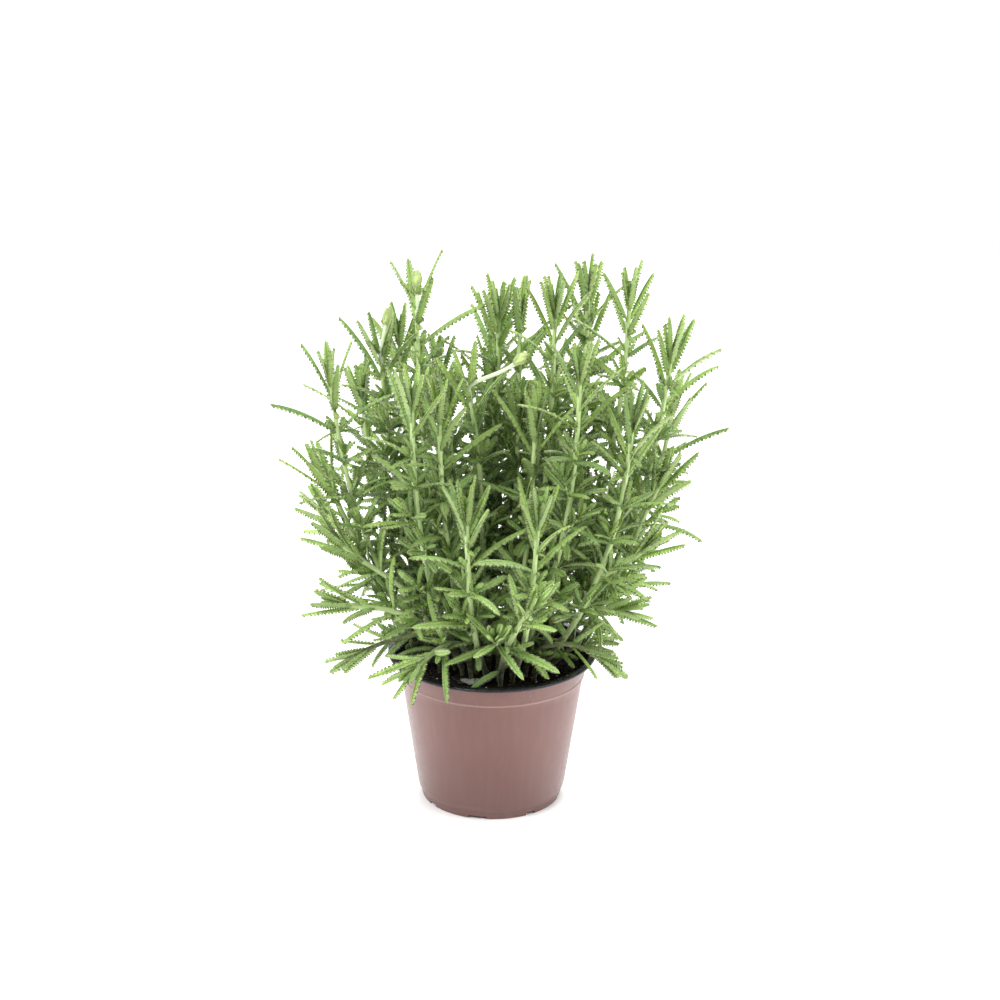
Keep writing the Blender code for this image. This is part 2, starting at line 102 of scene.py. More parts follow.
MM = 0.001
UP = Vector((0, 0, 1))
BODY = "root"

POT_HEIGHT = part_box("pot")[1].z
SOIL_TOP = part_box("potting_soil")[1].z
SCRAP_LOW, SCRAP_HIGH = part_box("dry_leaf")

# ---------------------------------------------------------------- the frame's own measures

SEED = 1853
LIP_RADIUS = 60 * MM
LIP_THICKNESS = 2 * MM
LIP_INNER_RADIUS = 56.2 * MM
BAND_TOP_RADIUS = 57.2 * MM
BEAD_RADIUS = 53.4 * MM
BEAD_HEIGHT = 75 * MM
BAND_FOOT_HEIGHT = 78 * MM
WALL_TOP_RADIUS = 52.9 * MM
WALL_FOOT_RADIUS = 42.4 * MM
WALL = 0.9 * MM
FOOT_HEIGHT = 5 * MM
FOOT_RADIUS = 40.4 * MM
FOOT_INNER_RADIUS = 38.7 * MM
RECESS_HEIGHT = 2 * MM
FLOOR_TOP = 3.2 * MM
PAD_RADIUS = 12.5 * MM
NOTCHES = 8
NOTCH_WIDTHS = (11 * MM, 6 * MM)
NOTCH_HEIGHT = 1.7 * MM
FIRST_NOTCH = math.radians(-100.8)
DRAIN_HOLE_RADIUS = 3.2 * MM
DRAIN_CIRCLE = 32 * MM
SOIL_EDGE_DROP = 1.5 * MM
WATERING_LOW = Vector((0, -47, 79)) * MM
WATERING_HIGH = Vector((20, -38, 88)) * MM
DRY_LEAF_PLACE = Vector((-9, -27, 0)) * MM
DRY_LEAF_TURN = math.radians(5)

ROOT_DEPTH = 8 * MM
ROOT_STUB = 4 * MM
STEM_HALF_BASE = 1.3 * MM
STEM_HALF_TIP = 0.85 * MM
NODE_SWELL = 1.15
STALK_HALF = 1 * MM
ROOT_SPACING = 8.2 * MM
ROOT_REACH = 34 * MM
ROOTS_KEEP_OFF = (Vector((-13, -27, 0)) * MM, Vector((-4, -27, 0)) * MM)
PATH_STEP = 2 * MM
STEM_ROOM = 3.4 * MM
STEM_WALL_GAP = 2.4 * MM
STEM_SWAY_STEP = 1.5 * MM
STEM_TRIES = 60
LOW_SLOPE = math.radians(50)

# Leaf pairs, counted from the tip of a shoot downwards: distance from the tip in millimetres, length
# in millimetres, angle from the stem and bend in degrees
PAIR_DISTANCES = (2, 8, 16, 29, 46, 67, 90, 115, 140, 166, 192, 218)
PAIR_LENGTHS = (27, 34, 38, 37, 36, 35, 33, 31, 28, 26, 24, 22)
PAIR_ANGLES = (12, 21, 34, 50, 61, 68, 72, 75, 78, 80, 82, 82)
PAIR_BENDS = (5, 11, 18, 28, 34, 38, 40, 40, 36, 32, 30, 30)
LEAF_ROOM = 4.6 * MM
LEAF_WALL_GAP = 1.4 * MM
SISTER_ROOM = 1.8 * MM
LEAF_STEP = 2.2 * MM
SHORTEST_LEAF = 9 * MM
LEAF_TRIES = 16
LEAST_ANGLE = math.radians(8)
MOST_ANGLE = math.radians(100)
FIRST_PAIR = 4
LIGHT_PULL = 0.18
LOW_LEAF_HEIGHT = 105 * MM
LOW_LEAF_SHARE = 0.72
BUD_LENGTH = 10 * MM
BUD_RADIUS = 3 * MM

# Shoots: the place of the stem's tip in millimetres, the slope of its tip in degrees, where 90 is
# upright, and the end of a flower stalk from the tip
FRONT_SHOOTS = (
    (-90, -5, 246, 84, None),
    (-64, 25, 256, 86, (3, 0, 18)),
    (-43, 10, 293, 90, (0, 0, 6)),
    (-44, -42, 244, 90, None),
    (-14, -12, 247, 78, (25, -10, 18)),
    (2, 28, 276, 90, None),
    (14, 20, 276, 90, None),
    (33, 4, 284, 90, None),
    (52, 34, 287, 90, None),
    (74, 8, 288, 88, None),
    (97, 0, 260, 84, None),
    (46, -36, 258, 90, None),
    (75, -32, 230, 86, None),
    (101, 28, 222, 81, None),
    (-14, -66, 188, 86, None),
    (24, -72, 188, 78, None),
    (-76, 48, 222, 84, None),
    (-94, 2, 188, 62, None),
    (-84, -18, 158, 48, None),
    (-79, -38, 130, 18, None),
    (-72, -24, 97, -28, None),
    (92, -12, 192, 66, None),
    (83, -24, 158, 46, None),
    (69, -32, 126, 16, None),
    (58, -36, 100, -24, None),
    (-40, -66, 106, -10, None),
    (20, -76, 142, 50, None),
    (2, -60, 118, 40, None),
)
BACK_SHOOTS = 11
INNER_SHOOTS = 5


# ---------------------------------------------------------------- settings


def length_setting(name, description, millimetres):
    default = millimetres * MM
    return bpy.props.FloatProperty(
        name=name, description=description, default=default, min=0, subtype="DISTANCE", unit="LENGTH"
    )


def count_setting(name, description, default):
    return bpy.props.IntProperty(name=name, description=description, default=default, min=0)


def color_setting(name, description, default):
    return bpy.props.FloatVectorProperty(
        name=name, description=description, default=default, size=3, min=0, max=1, subtype="COLOR"
    )


def strength_setting(name, description, default):
    return bpy.props.FloatProperty(name=name, description=description, default=default, min=0)


def power_setting(name, description, watts):
    return bpy.props.FloatProperty(
        name=name, description=description, default=watts, min=0, unit="POWER"
    )


class LavenderLeafSettings(bpy.types.PropertyGroup):
    """Sizes and colours of the leaves."""

    width: length_setting("Width", "Width over the teeth of a full leaf", 5.8)
    thickness: length_setting("Thickness", "How far the crown stands over the notches", 0.95)
    axil_leaf: length_setting("Axil leaf", "Length of the longest leaf in an axil", 27)
    axil_width: length_setting("Axil leaf width", "Width over the teeth of the longest axil leaf", 5.2)
    young: color_setting("Young", "Blades that have just unfolded", (0.44, 0.61, 0.18))
    grown: color_setting("Grown", "Felted, full-grown blades", (0.265, 0.415, 0.100))
    under: color_setting("Underside", "The paler felt below", (0.36, 0.49, 0.19))
    tip: color_setting("Tip", "The dry points of grown blades", (0.20, 0.15, 0.08))


class LavenderStemSettings(bpy.types.PropertyGroup):
    """Colours of the stems, stalks and buds."""

    green: color_setting("Green", "Young square stems", (0.58, 0.74, 0.32))
    # The wood-brown of the stems at the soil, made darker than the wood itself as painted shade
    woody_in_shade: color_setting("Woody", "Old stems at the soil", (0.06, 0.05, 0.028))
    stalk: color_setting("Flower stalk", "The pale stalks below the buds", (0.84, 0.92, 0.70))
    bract: color_setting("Bract", "The scales of the flower buds", (0.66, 0.84, 0.28))
    bract_edge: color_setting("Bract edge", "The thin pale margins of the scales", (0.74, 0.84, 0.46))


class LavenderPotSettings(bpy.types.PropertyGroup):
    """Colours of the pot, and how round it is."""

    outside: color_setting("Outside", "The brown outer layer", (0.181, 0.079, 0.067))
    inside: color_setting("Inside", "The black inner layer and lip", (0.006, 0.006, 0.008))
    sides: count_setting("Sides", "Faces round the pot", 120)


class LavenderSoilSettings(bpy.types.PropertyGroup):
    """Sizes and colours of what lies in the pot."""

    peat: color_setting("Peat", "Damp peat", (0.009, 0.0075, 0.006))
    perlite: color_setting("Perlite", "White volcanic grains", (0.72, 0.71, 0.66))
    fibre: color_setting("Fibre", "Dry stalks and rootlets", (0.13, 0.11, 0.08))
    withered: color_setting("Withered leaf", "The dry scrap on the soil", (0.56, 0.58, 0.55))
    crumb: length_setting("Crumb", "The largest crumbs of peat", 1.7)
    crumb_gap: length_setting("Crumb gap", "Least distance between crumbs", 1.15)


class LavenderStageSettings(bpy.types.PropertyGroup):
    """The plain studio: floor, lights and camera."""

    surround_back: strength_setting("Surround behind", "Brightness of the surroundings at the back", 0.85)
    surround_front: strength_setting("Surround in front", "Brightness of the surroundings in front", 0.25)
    key_power: power_setting("Key light", "Large light over the front left", 25)
    fill_power: power_setting("Fill light", "Large light on the right", 15)
    back_power: power_setting("Back light", "Large light over the back", 30)
    # The floor's glow is painted light: the floor shines of itself, with no lamp under it
    floor_glow: strength_setting("Floor glow", "Light from below the floor", 0.12)
    floor: color_setting("Floor", "The plain pale floor", (0.93, 0.93, 0.93))


class LavenderSettings(bpy.types.PropertyGroup):
    """All that a user would change."""

    leaf: bpy.props.PointerProperty(type=LavenderLeafSettings, name="Leaves")
    stem: bpy.props.PointerProperty(type=LavenderStemSettings, name="Stems and buds")
    pot: bpy.props.PointerProperty(type=LavenderPotSettings, name="Pot")
    soil: bpy.props.PointerProperty(type=LavenderSoilSettings, name="Soil")
    stage: bpy.props.PointerProperty(type=LavenderStageSettings, name="Stage")


# ---------------------------------------------------------------- how the bush grows

CROWD_CELL = 6 * MM
ROOT_ROUNDS = 160
ROOT_SHARE = 0.33
FINE_STEPS = 200
# Tips of the shoots at the back, in millimetres from the axis and over the floor, by turns
BACK_REACHES = (94, 62, 104, 76)
BACK_HEIGHTS = (196, 262, 150, 234)


def wall_radius(height):
    """The pot's inner wall at a height over its floor."""
    if height > BAND_FOOT_HEIGHT:
        share = (height - BAND_FOOT_HEIGHT) / (POT_HEIGHT - BAND_FOOT_HEIGHT)
        return (WALL_TOP_RADIUS - WALL) * (1 - share) + LIP_INNER_RADIUS * share
    share = (height - FOOT_HEIGHT) / (BAND_FOOT_HEIGHT - FOOT_HEIGHT)
    return (WALL_FOOT_RADIUS * (1 - share) + WALL_TOP_RADIUS * share) - WALL


class Crowd:
    """The places already taken by stems, leaves and buds, kept in cells for quick tests."""

    def __init__(self):
        self.cell = CROWD_CELL
        self.places = {}

    def key(self, point):
        return tuple(math.floor(value / self.cell) for value in point)

    def add(self, owner, kind, points):
        for point in points:
            self.places.setdefault(self.key(point), []).append((owner, kind, point))

    def near(self, point, owner, kind, room, sister_room):
        x, y, z = self.key(point)
        for i in (x - 1, x, x + 1):
            for j in (y - 1, y, y + 1):
                for k in (z - 1, z, z + 1):
                    for other, other_kind, place in self.places.get((i, j, k), ()):
                        limit = room
                        if other == owner:
                            if other_kind == "stem" or kind == "stem":
                                continue
                            limit = sister_room
                        if (place - point).length_squared < limit * limit:
                            return True
        return False


def in_watering_space(point, margin):
    low = WATERING_LOW
    high = WATERING_HIGH
    return all(low[axis] - margin < point[axis] < high[axis] + margin for axis in range(3))


def clear_of_pot(point, margin):
    """True over the lip, outside it, or in the open space between the wall and the soil's top."""
    if in_watering_space(point, margin):
        return False
    radius = math.hypot(point.x, point.y)
    if point.z > POT_HEIGHT + margin or radius > LIP_RADIUS + margin:
        return True
    return point.z > SOIL_TOP + margin and radius < wall_radius(point.z) - margin


def planned_shoots(rng):
    """All shoots from the front to the back and the inside of the bush."""
    shoots = []
    for x, y, z, slope, stalk in FRONT_SHOOTS:
        tip = Vector((x, y, z)) * MM
        shoots.append((tip, math.radians(slope), Vector(stalk) * MM if stalk else None))
    for index in range(BACK_SHOOTS):
        turn = math.radians(22 + index * 136 / (BACK_SHOOTS - 1))
        reach = BACK_REACHES[index % len(BACK_REACHES)] + rng.uniform(-5, 5)
        height = BACK_HEIGHTS[index % len(BACK_HEIGHTS)] + rng.uniform(-8, 8)
        tip = Vector((reach * math.cos(turn), reach * math.sin(turn), height)) * MM
        slope = math.radians(88 - (max(0, 240 - height)) * 0.5)
        shoots.append((tip, slope, None))
    for index in range(INNER_SHOOTS):
        turn = math.radians(40 + index * 137.5)
        reach = 18 + 7 * index
        tip = Vector((reach * math.cos(turn), reach * math.sin(turn), 226 + rng.uniform(-14, 14))) * MM
        shoots.append((tip, math.radians(88), None))
    return shoots


def root_places(shoots, rng):
    """A root for each shoot, nearer the middle than its tip and apart from the other roots."""
    roots = []
    for tip, _, _ in shoots:
        flat = Vector((tip.x, tip.y, 0))
        roots.append(flat * ROOT_SHARE + Vector((rng.uniform(-1, 1), rng.uniform(-1, 1), 0)) * MM)
    for _ in range(ROOT_ROUNDS):
        for first in range(len(roots)):
            for spot in ROOTS_KEEP_OFF:
                apart = roots[first] - spot
                missing = ROOT_SPACING - apart.length
                if missing > 0:
                    roots[first] += apart.normalized() * missing
            for second in range(first + 1, len(roots)):
                apart = roots[second] - roots[first]
                missing = ROOT_SPACING - apart.length
                if missing > 0:
                    push = apart.normalized() * missing * 0.5
                    roots[first] -= push
                    roots[second] += push
        for root in roots:
            if root.length > ROOT_REACH:
                root *= ROOT_REACH / root.length
    return roots


def bezier(controls, share):
    a, b, c, d = controls
    rest = 1 - share
    return a * rest**3 + b * (3 * rest * rest * share) + c * (3 * rest * share * share) + d * share**3


def even_path(controls):
    """Points about PATH_STEP apart along a Bezier curve, from its start to its end."""
    fine = [bezier(controls, index / FINE_STEPS) for index in range(FINE_STEPS + 1)]
    length = sum((b - a).length for a, b in zip(fine, fine[1:]))
    count = max(2, round(length / PATH_STEP))
    points = [fine[0].copy()]
    walked = 0.0
    for a, b in zip(fine, fine[1:]):
        walked += (b - a).length
        while len(points) < count and walked >= length * len(points) / count:
            points.append(b.copy())
    points.append(fine[-1].copy())
    return points


def stem_path(root, tip, slope, sway):
    """From the soil straight up a little, then in one curve to the tip."""
    start = Vector((root.x, root.y, SOIL_TOP + ROOT_STUB))
    outward = Vector((tip.x - root.x, tip.y - root.y, 0))
    reach = outward.length
    outward.normalize()
    heading = outward * math.cos(slope) + UP * math.sin(slope)
    span = (tip - start).length
    low = slope < LOW_SLOPE
    rise = (0.55 if low else 0.22) * span
    first = start + UP * rise + outward * (0.1 if low else 0.55) * reach + sway
    second = tip - heading * (0.3 if low else 0.45) * span + sway * 0.5
    return even_path((start, first, second, tip))


def frames_along(points, phase):
    """Tangent and two side axes at each point, carried along without twisting."""
    side = Vector((math.cos(phase), math.sin(phase), 0))
    frames = []
    for index in range(len(points)):
        ahead = points[min(index + 1, len(points) - 1)]
        behind = points[max(index - 1, 0)]
        tangent = (ahead - behind).normalized()
        side = (side - tangent * side.dot(tangent)).normalized()
        frames.append((tangent, side, tangent.cross(side)))
    return frames


class Shoot:
    """One rooted stem: its path from the soil to the tip, its leaves and its flower stalk."""

    def __init__(self, number, root, phase, plan):
        self.number = number
        self.root = root
        self.phase = phase
        self.tip, self.slope, self.stalk = plan
        self.pairs = []
        self.stalk_points = []

    def route(self, crowd, rng):
        """The stem's path, swayed aside until it is clear of the other stems and the pot."""
        for attempt in range(STEM_TRIES):
            sway = Vector((rng.uniform(-1, 1), rng.uniform(-1, 1), 0)) * STEM_SWAY_STEP * attempt
            self.points = stem_path(self.root, self.tip, self.slope, sway)
            if self.fits(crowd):
                break
        else:
            raise RuntimeError(f"shoot {self.number} finds no way up")
        self.frames = frames_along(self.points, self.phase)
        crowd.add(self.number, "stem", self.points)
        if self.stalk:
            self.route_stalk(crowd)

    def fits(self, crowd):
        return all(
            clear_of_pot(point, STEM_WALL_GAP)
            and not crowd.near(point, self.number, "stem", STEM_ROOM, 0)
            for point in self.points[2:]
        )

    def route_stalk(self, crowd):
        """A thin stalk that leaves the tip in its direction and ends under the bud."""
        end = self.tip + self.stalk
        reach = self.stalk.length
        heading = self.frames[-1][0]
        self.bud_heading = (self.stalk.normalized() + heading * 0.2).normalized()
        bow = heading * reach * 0.18
        controls = (self.tip, self.tip + bow, end - self.bud_heading * reach * 0.35, end)
        self.stalk_points = even_path(controls)
        crowd.add(self.number, "stalk", self.stalk_points)
        bud = [end + self.bud_heading * BUD_LENGTH * share for share in (0.1, 0.5, 0.9)]
        crowd.add(-self.number, "bud", bud)

    def pair_index(self, level):
        """The path point that carries the pair of this level, or None where the stem is too short."""
        index = len(self.points) - 1 - round(PAIR_DISTANCES[level] * MM / PATH_STEP)
        return index if index >= FIRST_PAIR else None


def leaf_line(root, heading, up, length, bend, count):
    """Points along a blade that bends away from its upper side."""
    line = []
    for index in range(count + 1):
        turn = bend * index / count
        offset = heading * math.sin(turn) - up * (1 - math.cos(turn))
        line.append(root + offset * (length / bend))
    return line


def grow_leaves(shoots, crowd, rng):
    """Pairs are placed level by level from the tips down, each leaf where it finds room."""
    for level in range(len(PAIR_DISTANCES)):
        for shoot in shoots:
            index = shoot.pair_index(level)
            if index is None:
                continue
            _, side, other = shoot.frames[index]
            axis = side if level % 2 else other
            pair = [grow_leaf(shoot, crowd, rng, level, index, axis * sign) for sign in (1, -1)]
            shoot.pairs.append((level, index, axis, pair))


def grow_leaf(shoot, crowd, rng, level, index, outward):
    """A leaf as (root, heading, up, length, bend), or None where every try meets something."""
    tangent = shoot.frames[index][0]
    root = shoot.points[index] + outward * STEM_HALF_TIP
    full = PAIR_LENGTHS[level] * MM
    if root.z < LOW_LEAF_HEIGHT:
        full *= LOW_LEAF_SHARE
    for attempt in range(LEAF_TRIES):
        loose = 1 + 0.25 * attempt
        length = full * rng.uniform(0.86, 1.08) * (1 - 0.035 * attempt)
        angle = math.radians(PAIR_ANGLES[level] + rng.uniform(-7, 7) * loose)
        angle = min(max(angle, LEAST_ANGLE), MOST_ANGLE)
        yaw = math.radians(rng.uniform(-9, 9) * loose)
        bend = math.radians(PAIR_BENDS[level] * rng.uniform(0.5, 1.4))
        facing = Matrix.Rotation(yaw, 3, tangent) @ outward
        heading = tangent * math.cos(angle) + (facing + UP * LIGHT_PULL) * math.sin(angle)
        heading.normalize()
        up = tangent * math.sin(angle) - facing * math.cos(angle)
        up = (up - heading * up.dot(heading)).normalized()
        if length < SHORTEST_LEAF:
            return None
        points = leaf_line(root, heading, up, length, bend, max(3, round(length / LEAF_STEP)))
        free = all(
            clear_of_pot(point, LEAF_WALL_GAP)
            and not crowd.near(point, shoot.number, "leaf", LEAF_ROOM, SISTER_ROOM)
            for point in points[2:]
        )
        if free:
            crowd.add(shoot.number, "leaf", points[1:])
            return root, heading, up, length, bend
    return None


@functools.cache
def grown_bush():
    """The shoots with their stems, leaves and stalks as the frame has them, and the places taken."""
    rng = random.Random(SEED)
    plans = planned_shoots(rng)
    roots = root_places(plans, rng)
    crowd = Crowd()
    scrap = [DRY_LEAF_PLACE + Vector((x * MM, 0, SOIL_TOP + 1 * MM)) for x in (-4, 0, 4)]
    crowd.add(0, "scrap", scrap)
    shoots = []
    for number, (root, plan) in enumerate(zip(roots, plans), 1):
        shoot = Shoot(number, root, rng.uniform(0, math.pi / 2), plan)
        shoot.route(crowd, rng)
        shoots.append(shoot)
    grow_leaves(shoots, crowd, rng)
    return shoots, crowd


# ---------------------------------------------------------------- the small leaves in the axils

AXIL_SEED = 77
AXIL_FIRST_LEVEL = 2
AXIL_SHARE = (0, 0, 0.4, 0.75, 1, 1, 1, 1, 1, 1, 1, 1)
AXIL_STEMS = (0, 0, 0.5, 2, 6, 11, 15, 18, 19, 19, 16, 13)
AXIL_LEAVES = (0, 0, 10, 15, 21, 25, 27, 27, 26, 24, 22, 19)
AXIL_PAIR_STEP = 5.8 * MM
AXIL_ROOM = 2.15 * MM
AXIL_SISTER_ROOM = 0.8 * MM
AXIL_WALL_GAP = 1.2 * MM
AXIL_TRIES = 7
AXIL_SHORTEST = 5.5 * MM
# Low side shoots are slender and carry few sprigs, and few grow just over the soil
AXIL_SIDE_SHARE = 0.26
AXIL_LOW_SHARE = 0.22
SIDE_WIDTH_SHARE = 0.88
# Crown leaves: height over the tip in millimetres, length in millimetres and angle from the stem in
# degrees. Below a bud they are short and lean away from it.
CROWN_LEAVES = ((1.0, 25, 9), (1.8, 16, 5))
STALKED_CROWN_LEAVES = ((1.0, 14, 40), (1.8, 9, 36))
# Blades of upright shoots reach a little further than in the frame, most in the whorls under a tip
REACH_SHARES = (1, 1.04, 1.16, 1.16, 1.08, 1.04, 1)
FRESH_HEIGHT = 216 * MM
FRESH_FADE = 50 * MM


class Blade:
    """What one leaf, tooth for tooth, is laid out from."""

    def __init__(self, root, heading, up, length, bend, width, age, rng):
        self.root = root
        self.heading = heading
        self.up = up
        self.length = length
        self.bend = bend
        self.width = width * rng.uniform(0.9, 1.1)
        self.age = min(max(age + rng.uniform(-0.16, 0.16), 0), 1)
        self.tint = rng.uniform(0, 1)
        self.twist = math.radians(rng.uniform(-30, 30))


def freshness(shoot):
    """Low side shoots are younger than the tall ones, and stay yellow-green."""
    return min(max((FRESH_HEIGHT - shoot.tip.z) / FRESH_FADE, 0), 1)


def main_blades(shoot, settings, rng):
    """The leaf pairs that the frame has, the lower ones older."""
    fresh = freshness(shoot)
    slender = SIDE_WIDTH_SHARE if shoot.slope < LOW_SLOPE else 1
    for level, _, _, pair in shoot.pairs:
        for leaf in pair:
            if leaf is None:
                continue
            root, heading, up, length, bend = leaf
            if shoot.slope > LOW_SLOPE:
                length *= REACH_SHARES[min(level, len(REACH_SHARES) - 1)]
            age = (0.05 + 0.17 * level) * (1 - 0.6 * fresh)
            width = settings.width * slender * min(1, 0.62 + 0.38 * length / (34 * MM))
            yield Blade(root, heading, up, length, bend, width, age, rng)


def crown_blades(shoot, settings, rng):
    """The still folded leaves round the growing point, and small ones round a stalk's foot."""
    tangent, side, other = shoot.frames[-1]
    crown = STALKED_CROWN_LEAVES if shoot.stalk_points else CROWN_LEAVES
    for row, (rise, length, angle) in enumerate(crown):
        axis = other if row % 2 else side
        for sign in (1, -1):
            lean = math.radians(angle + rng.uniform(-2, 3))
            outward = axis * sign
            root = shoot.tip + tangent * (rise * MM) + outward * (STEM_HALF_TIP * 0.5)
            heading = (tangent * math.cos(lean) + outward * math.sin(lean)).normalized()
            up = (tangent * math.sin(lean) - outward * math.cos(lean)).normalized()
            long = length * MM * rng.uniform(0.85, 1.15)
            yield Blade(root, heading, up, long, math.radians(5), settings.width * 0.8, 0, rng)


class Sprig:
    """A short side shoot in a leaf axil: its stem's points and its blades."""

    def __init__(self, shoot, level, index, outward, rng):
        tangent = shoot.frames[index][0]
        lean = math.radians(rng.uniform(24, 44))
        sideways = tangent.cross(outward) * rng.uniform(-0.35, 0.35)
        self.start = shoot.points[index] + outward * STEM_HALF_TIP * 0.6 + tangent * 0.9 * MM
        self.heading = tangent * math.cos(lean) + (outward + sideways) * math.sin(lean) + UP * 0.15
        self.heading.normalize()
        self.reach = AXIL_STEMS[level] * MM * rng.uniform(0.5, 1.35)
        self.side = (outward - self.heading * outward.dot(self.heading)).normalized()
        self.points = [self.start + self.heading * self.reach * share for share in (0, 0.33, 0.66, 1)]


def sprig_blades(shoot, sprig, level, crowd, settings, rng):
    """Pairs of small leaves on a sprig, from its tip down, each where it finds room."""
    largest = AXIL_LEAVES[level] * MM * (settings.axil_leaf / (27 * MM))
    pairs = 2 + round(sprig.reach / AXIL_PAIR_STEP)
    across = sprig.heading.cross(sprig.side)
    for row in range(pairs):
        share = row / max(pairs - 1, 1)
        place = sprig.start + sprig.heading * (sprig.reach * (1 - 0.85 * share))
        axis = sprig.side if row % 2 else across
        for sign in (1, -1):
            blade = sprig_blade(shoot, sprig, place, axis * sign, share, largest, crowd, settings, rng)
            if blade:
                yield blade


def sprig_blade(shoot, sprig, place, outward, share, largest, crowd, settings, rng):
    for _ in range(AXIL_TRIES):
        length = largest * (0.55 + 0.45 * share) * rng.uniform(0.7, 1.12)
        lean = math.radians(13 + 40 * share + rng.uniform(-9, 12))
        bend = math.radians(rng.uniform(8, 42))
        heading = sprig.heading * math.cos(lean) + (outward + UP * 0.12) * math.sin(lean)
        heading.normalize()
        up = sprig.heading * math.sin(lean) - outward * math.cos(lean)
        up = (up - heading * up.dot(heading)).normalized()
        points = leaf_line(place, heading, up, length, bend, max(3, round(length / LEAF_STEP)))
        free = all(
            clear_of_pot(point, AXIL_WALL_GAP)
            and not crowd.near(point, shoot.number, "leaf", AXIL_ROOM, AXIL_SISTER_ROOM)
            for point in points[1:]
        )
        if free and length > AXIL_SHORTEST:
            crowd.add(shoot.number, "leaf", points[1:])
            fresh = freshness(shoot)
            age = 0.3 + 0.35 * share - 0.3 * fresh
            width = settings.axil_width * (0.55 + 0.45 * length / settings.axil_leaf)
            return Blade(place, heading, up, length, bend, width, age, rng)
    return None


def grown_sprigs(shoot, crowd, settings, rng):
    """All sprigs of a shoot as (their stems, their blades)."""
    stems = []
    blades = []
    for level, index, axis, _ in shoot.pairs:
        if level < AXIL_FIRST_LEVEL:
            continue
        share = AXIL_SHARE[level]
        if shoot.slope < LOW_SLOPE:
            share *= AXIL_SIDE_SHARE
        if shoot.points[index].z < LOW_LEAF_HEIGHT:
            share *= AXIL_LOW_SHARE
        for sign in (1, -1):
            if rng.random() > share:
                continue
            sprig = Sprig(shoot, level, index, axis * sign, rng)
            found = list(sprig_blades(shoot, sprig, level, crowd, settings, rng))
            if found:
                stems.append(sprig)
                blades.extend(found)
    return stems, blades


# ---------------------------------------------------------------- node trees


def feed(socket, value):
    """Links a wire to an input, or sets the input's own value."""
    if isinstance(value, Wire):
        socket.id_data.links.new(value.socket, socket)
    else:
        socket.default_value = value


def add_node(tree, kind, inputs=None, output=0, **settings):
    """A node with its settings, fed with values or wires, and the wire from one of its outputs."""
    node = tree.nodes.new(kind)
    for name, value in settings.items():
        setattr(node, name, value)
    for key, value in (inputs or {}).items():
        feed(node.inputs[key], value)
    return wire_from(node.outputs[output])


def wire_from(socket):
    return (Arrow if socket.type == "VECTOR" else Wire)(socket)


class Wire:
    """An output of a node. Arithmetic on it adds math nodes to its tree."""

    def __init__(self, socket):
        self.socket = socket
        self.tree = socket.id_data

    def output(self, key):
        """Another output of the same node."""
        return wire_from(self.socket.node.outputs[key])

    def maths(self, operation, *values):
        inputs = dict(enumerate((self, *values)))
        return add_node(self.tree, "ShaderNodeMath", inputs, operation=operation)

    def ramp(self, low, high, first=0.0, second=1.0):
        """Goes smoothly from the first value to the second while this wire goes from low to high."""
        inputs = {"Value": self, "From Min": low, "From Max": high, "To Min": first, "To Max": second}
        return add_node(self.tree, "ShaderNodeMapRange", inputs, interpolation_type="SMOOTHSTEP")

    def __add__(self, other):
        return self.maths("ADD", other)

    def __sub__(self, other):
        return self.maths("SUBTRACT", other)

    def __rsub__(self, other):
        return add_node(self.tree, "ShaderNodeMath", {0: other, 1: self}, operation="SUBTRACT")

    def __mul__(self, other):
        return self.maths("MULTIPLY", other)

    def __truediv__(self, other):
        return self.maths("DIVIDE", other)

    def __rtruediv__(self, other):
        return add_node(self.tree, "ShaderNodeMath", {0: other, 1: self}, operation="DIVIDE")


class Arrow(Wire):
    """A wire that carries a vector. Its product is with a number."""

    def maths(self, operation, *values):
        keys = (0, "Scale") if operation == "SCALE" else range(len(values) + 1)
        output = "Value" if operation == "LENGTH" else 0
        inputs = dict(zip(keys, (self, *values)))
        return add_node(self.tree, "ShaderNodeVectorMath", inputs, output, operation=operation)

    def __mul__(self, factor):
        return self.maths("SCALE", factor)

    def parts(self):
        """Its three numbers."""
        x = add_node(self.tree, "ShaderNodeSeparateXYZ", {0: self})
        return x, x.output(1), x.output(2)

    def noise(self, scale, detail=3.0, roughness=0.55):
        inputs = {"Vector": self, "Scale": scale, "Detail": detail, "Roughness": roughness}
        return add_node(self.tree, "ShaderNodeTexNoise", inputs)

    def stretched(self, scale):
        """This place with its axes scaled, for noise in streaks."""
        inputs = {"Vector": self, "Scale": scale}
        return add_node(self.tree, "ShaderNodeMapping", inputs, vector_type="POINT")


def new_socket(tree, name, direction, kind, default=None):
    socket = tree.interface.new_socket(name=name, in_out=direction, socket_type="NodeSocket" + kind)
    if default is not None:
        socket.default_value = default


def attribute(tree, name, kind="FLOAT"):
    """An attribute by name inside a geometry tree."""
    return add_node(tree, "GeometryNodeInputNamedAttribute", {"Name": name}, "Attribute", data_type=kind)


def geometry_tree(name, *inputs):
    """A geometry tree, the wires of its inputs by name, and the socket that its result goes to."""
    tree = bpy.data.node_groups.new(name, "GeometryNodeTree")
    new_socket(tree, "Geometry", "INPUT", "Geometry")
    for row in inputs:
        new_socket(tree, row[0], "INPUT", *row[1:])
    new_socket(tree, "Geometry", "OUTPUT", "Geometry")
    start = tree.nodes.new("NodeGroupInput")
    end = tree.nodes.new("NodeGroupOutput")
    given = {socket.name: wire_from(socket) for socket in start.outputs if socket.name}
    return tree, given, end.inputs[0]


def settle(obj):
    """Keeps the plain mesh that the object's modifiers make, and removes them."""
    graph = bpy.context.evaluated_depsgraph_get()
    graph.update()
    mesh = bpy.data.meshes.new_from_object(
        obj.evaluated_get(graph), preserve_all_data_layers=True, depsgraph=graph
    )
    obj.modifiers.clear()
    plain = obj.data
    obj.data = mesh
    bpy.data.meshes.remove(plain)
    mesh.name = obj.name
    return mesh


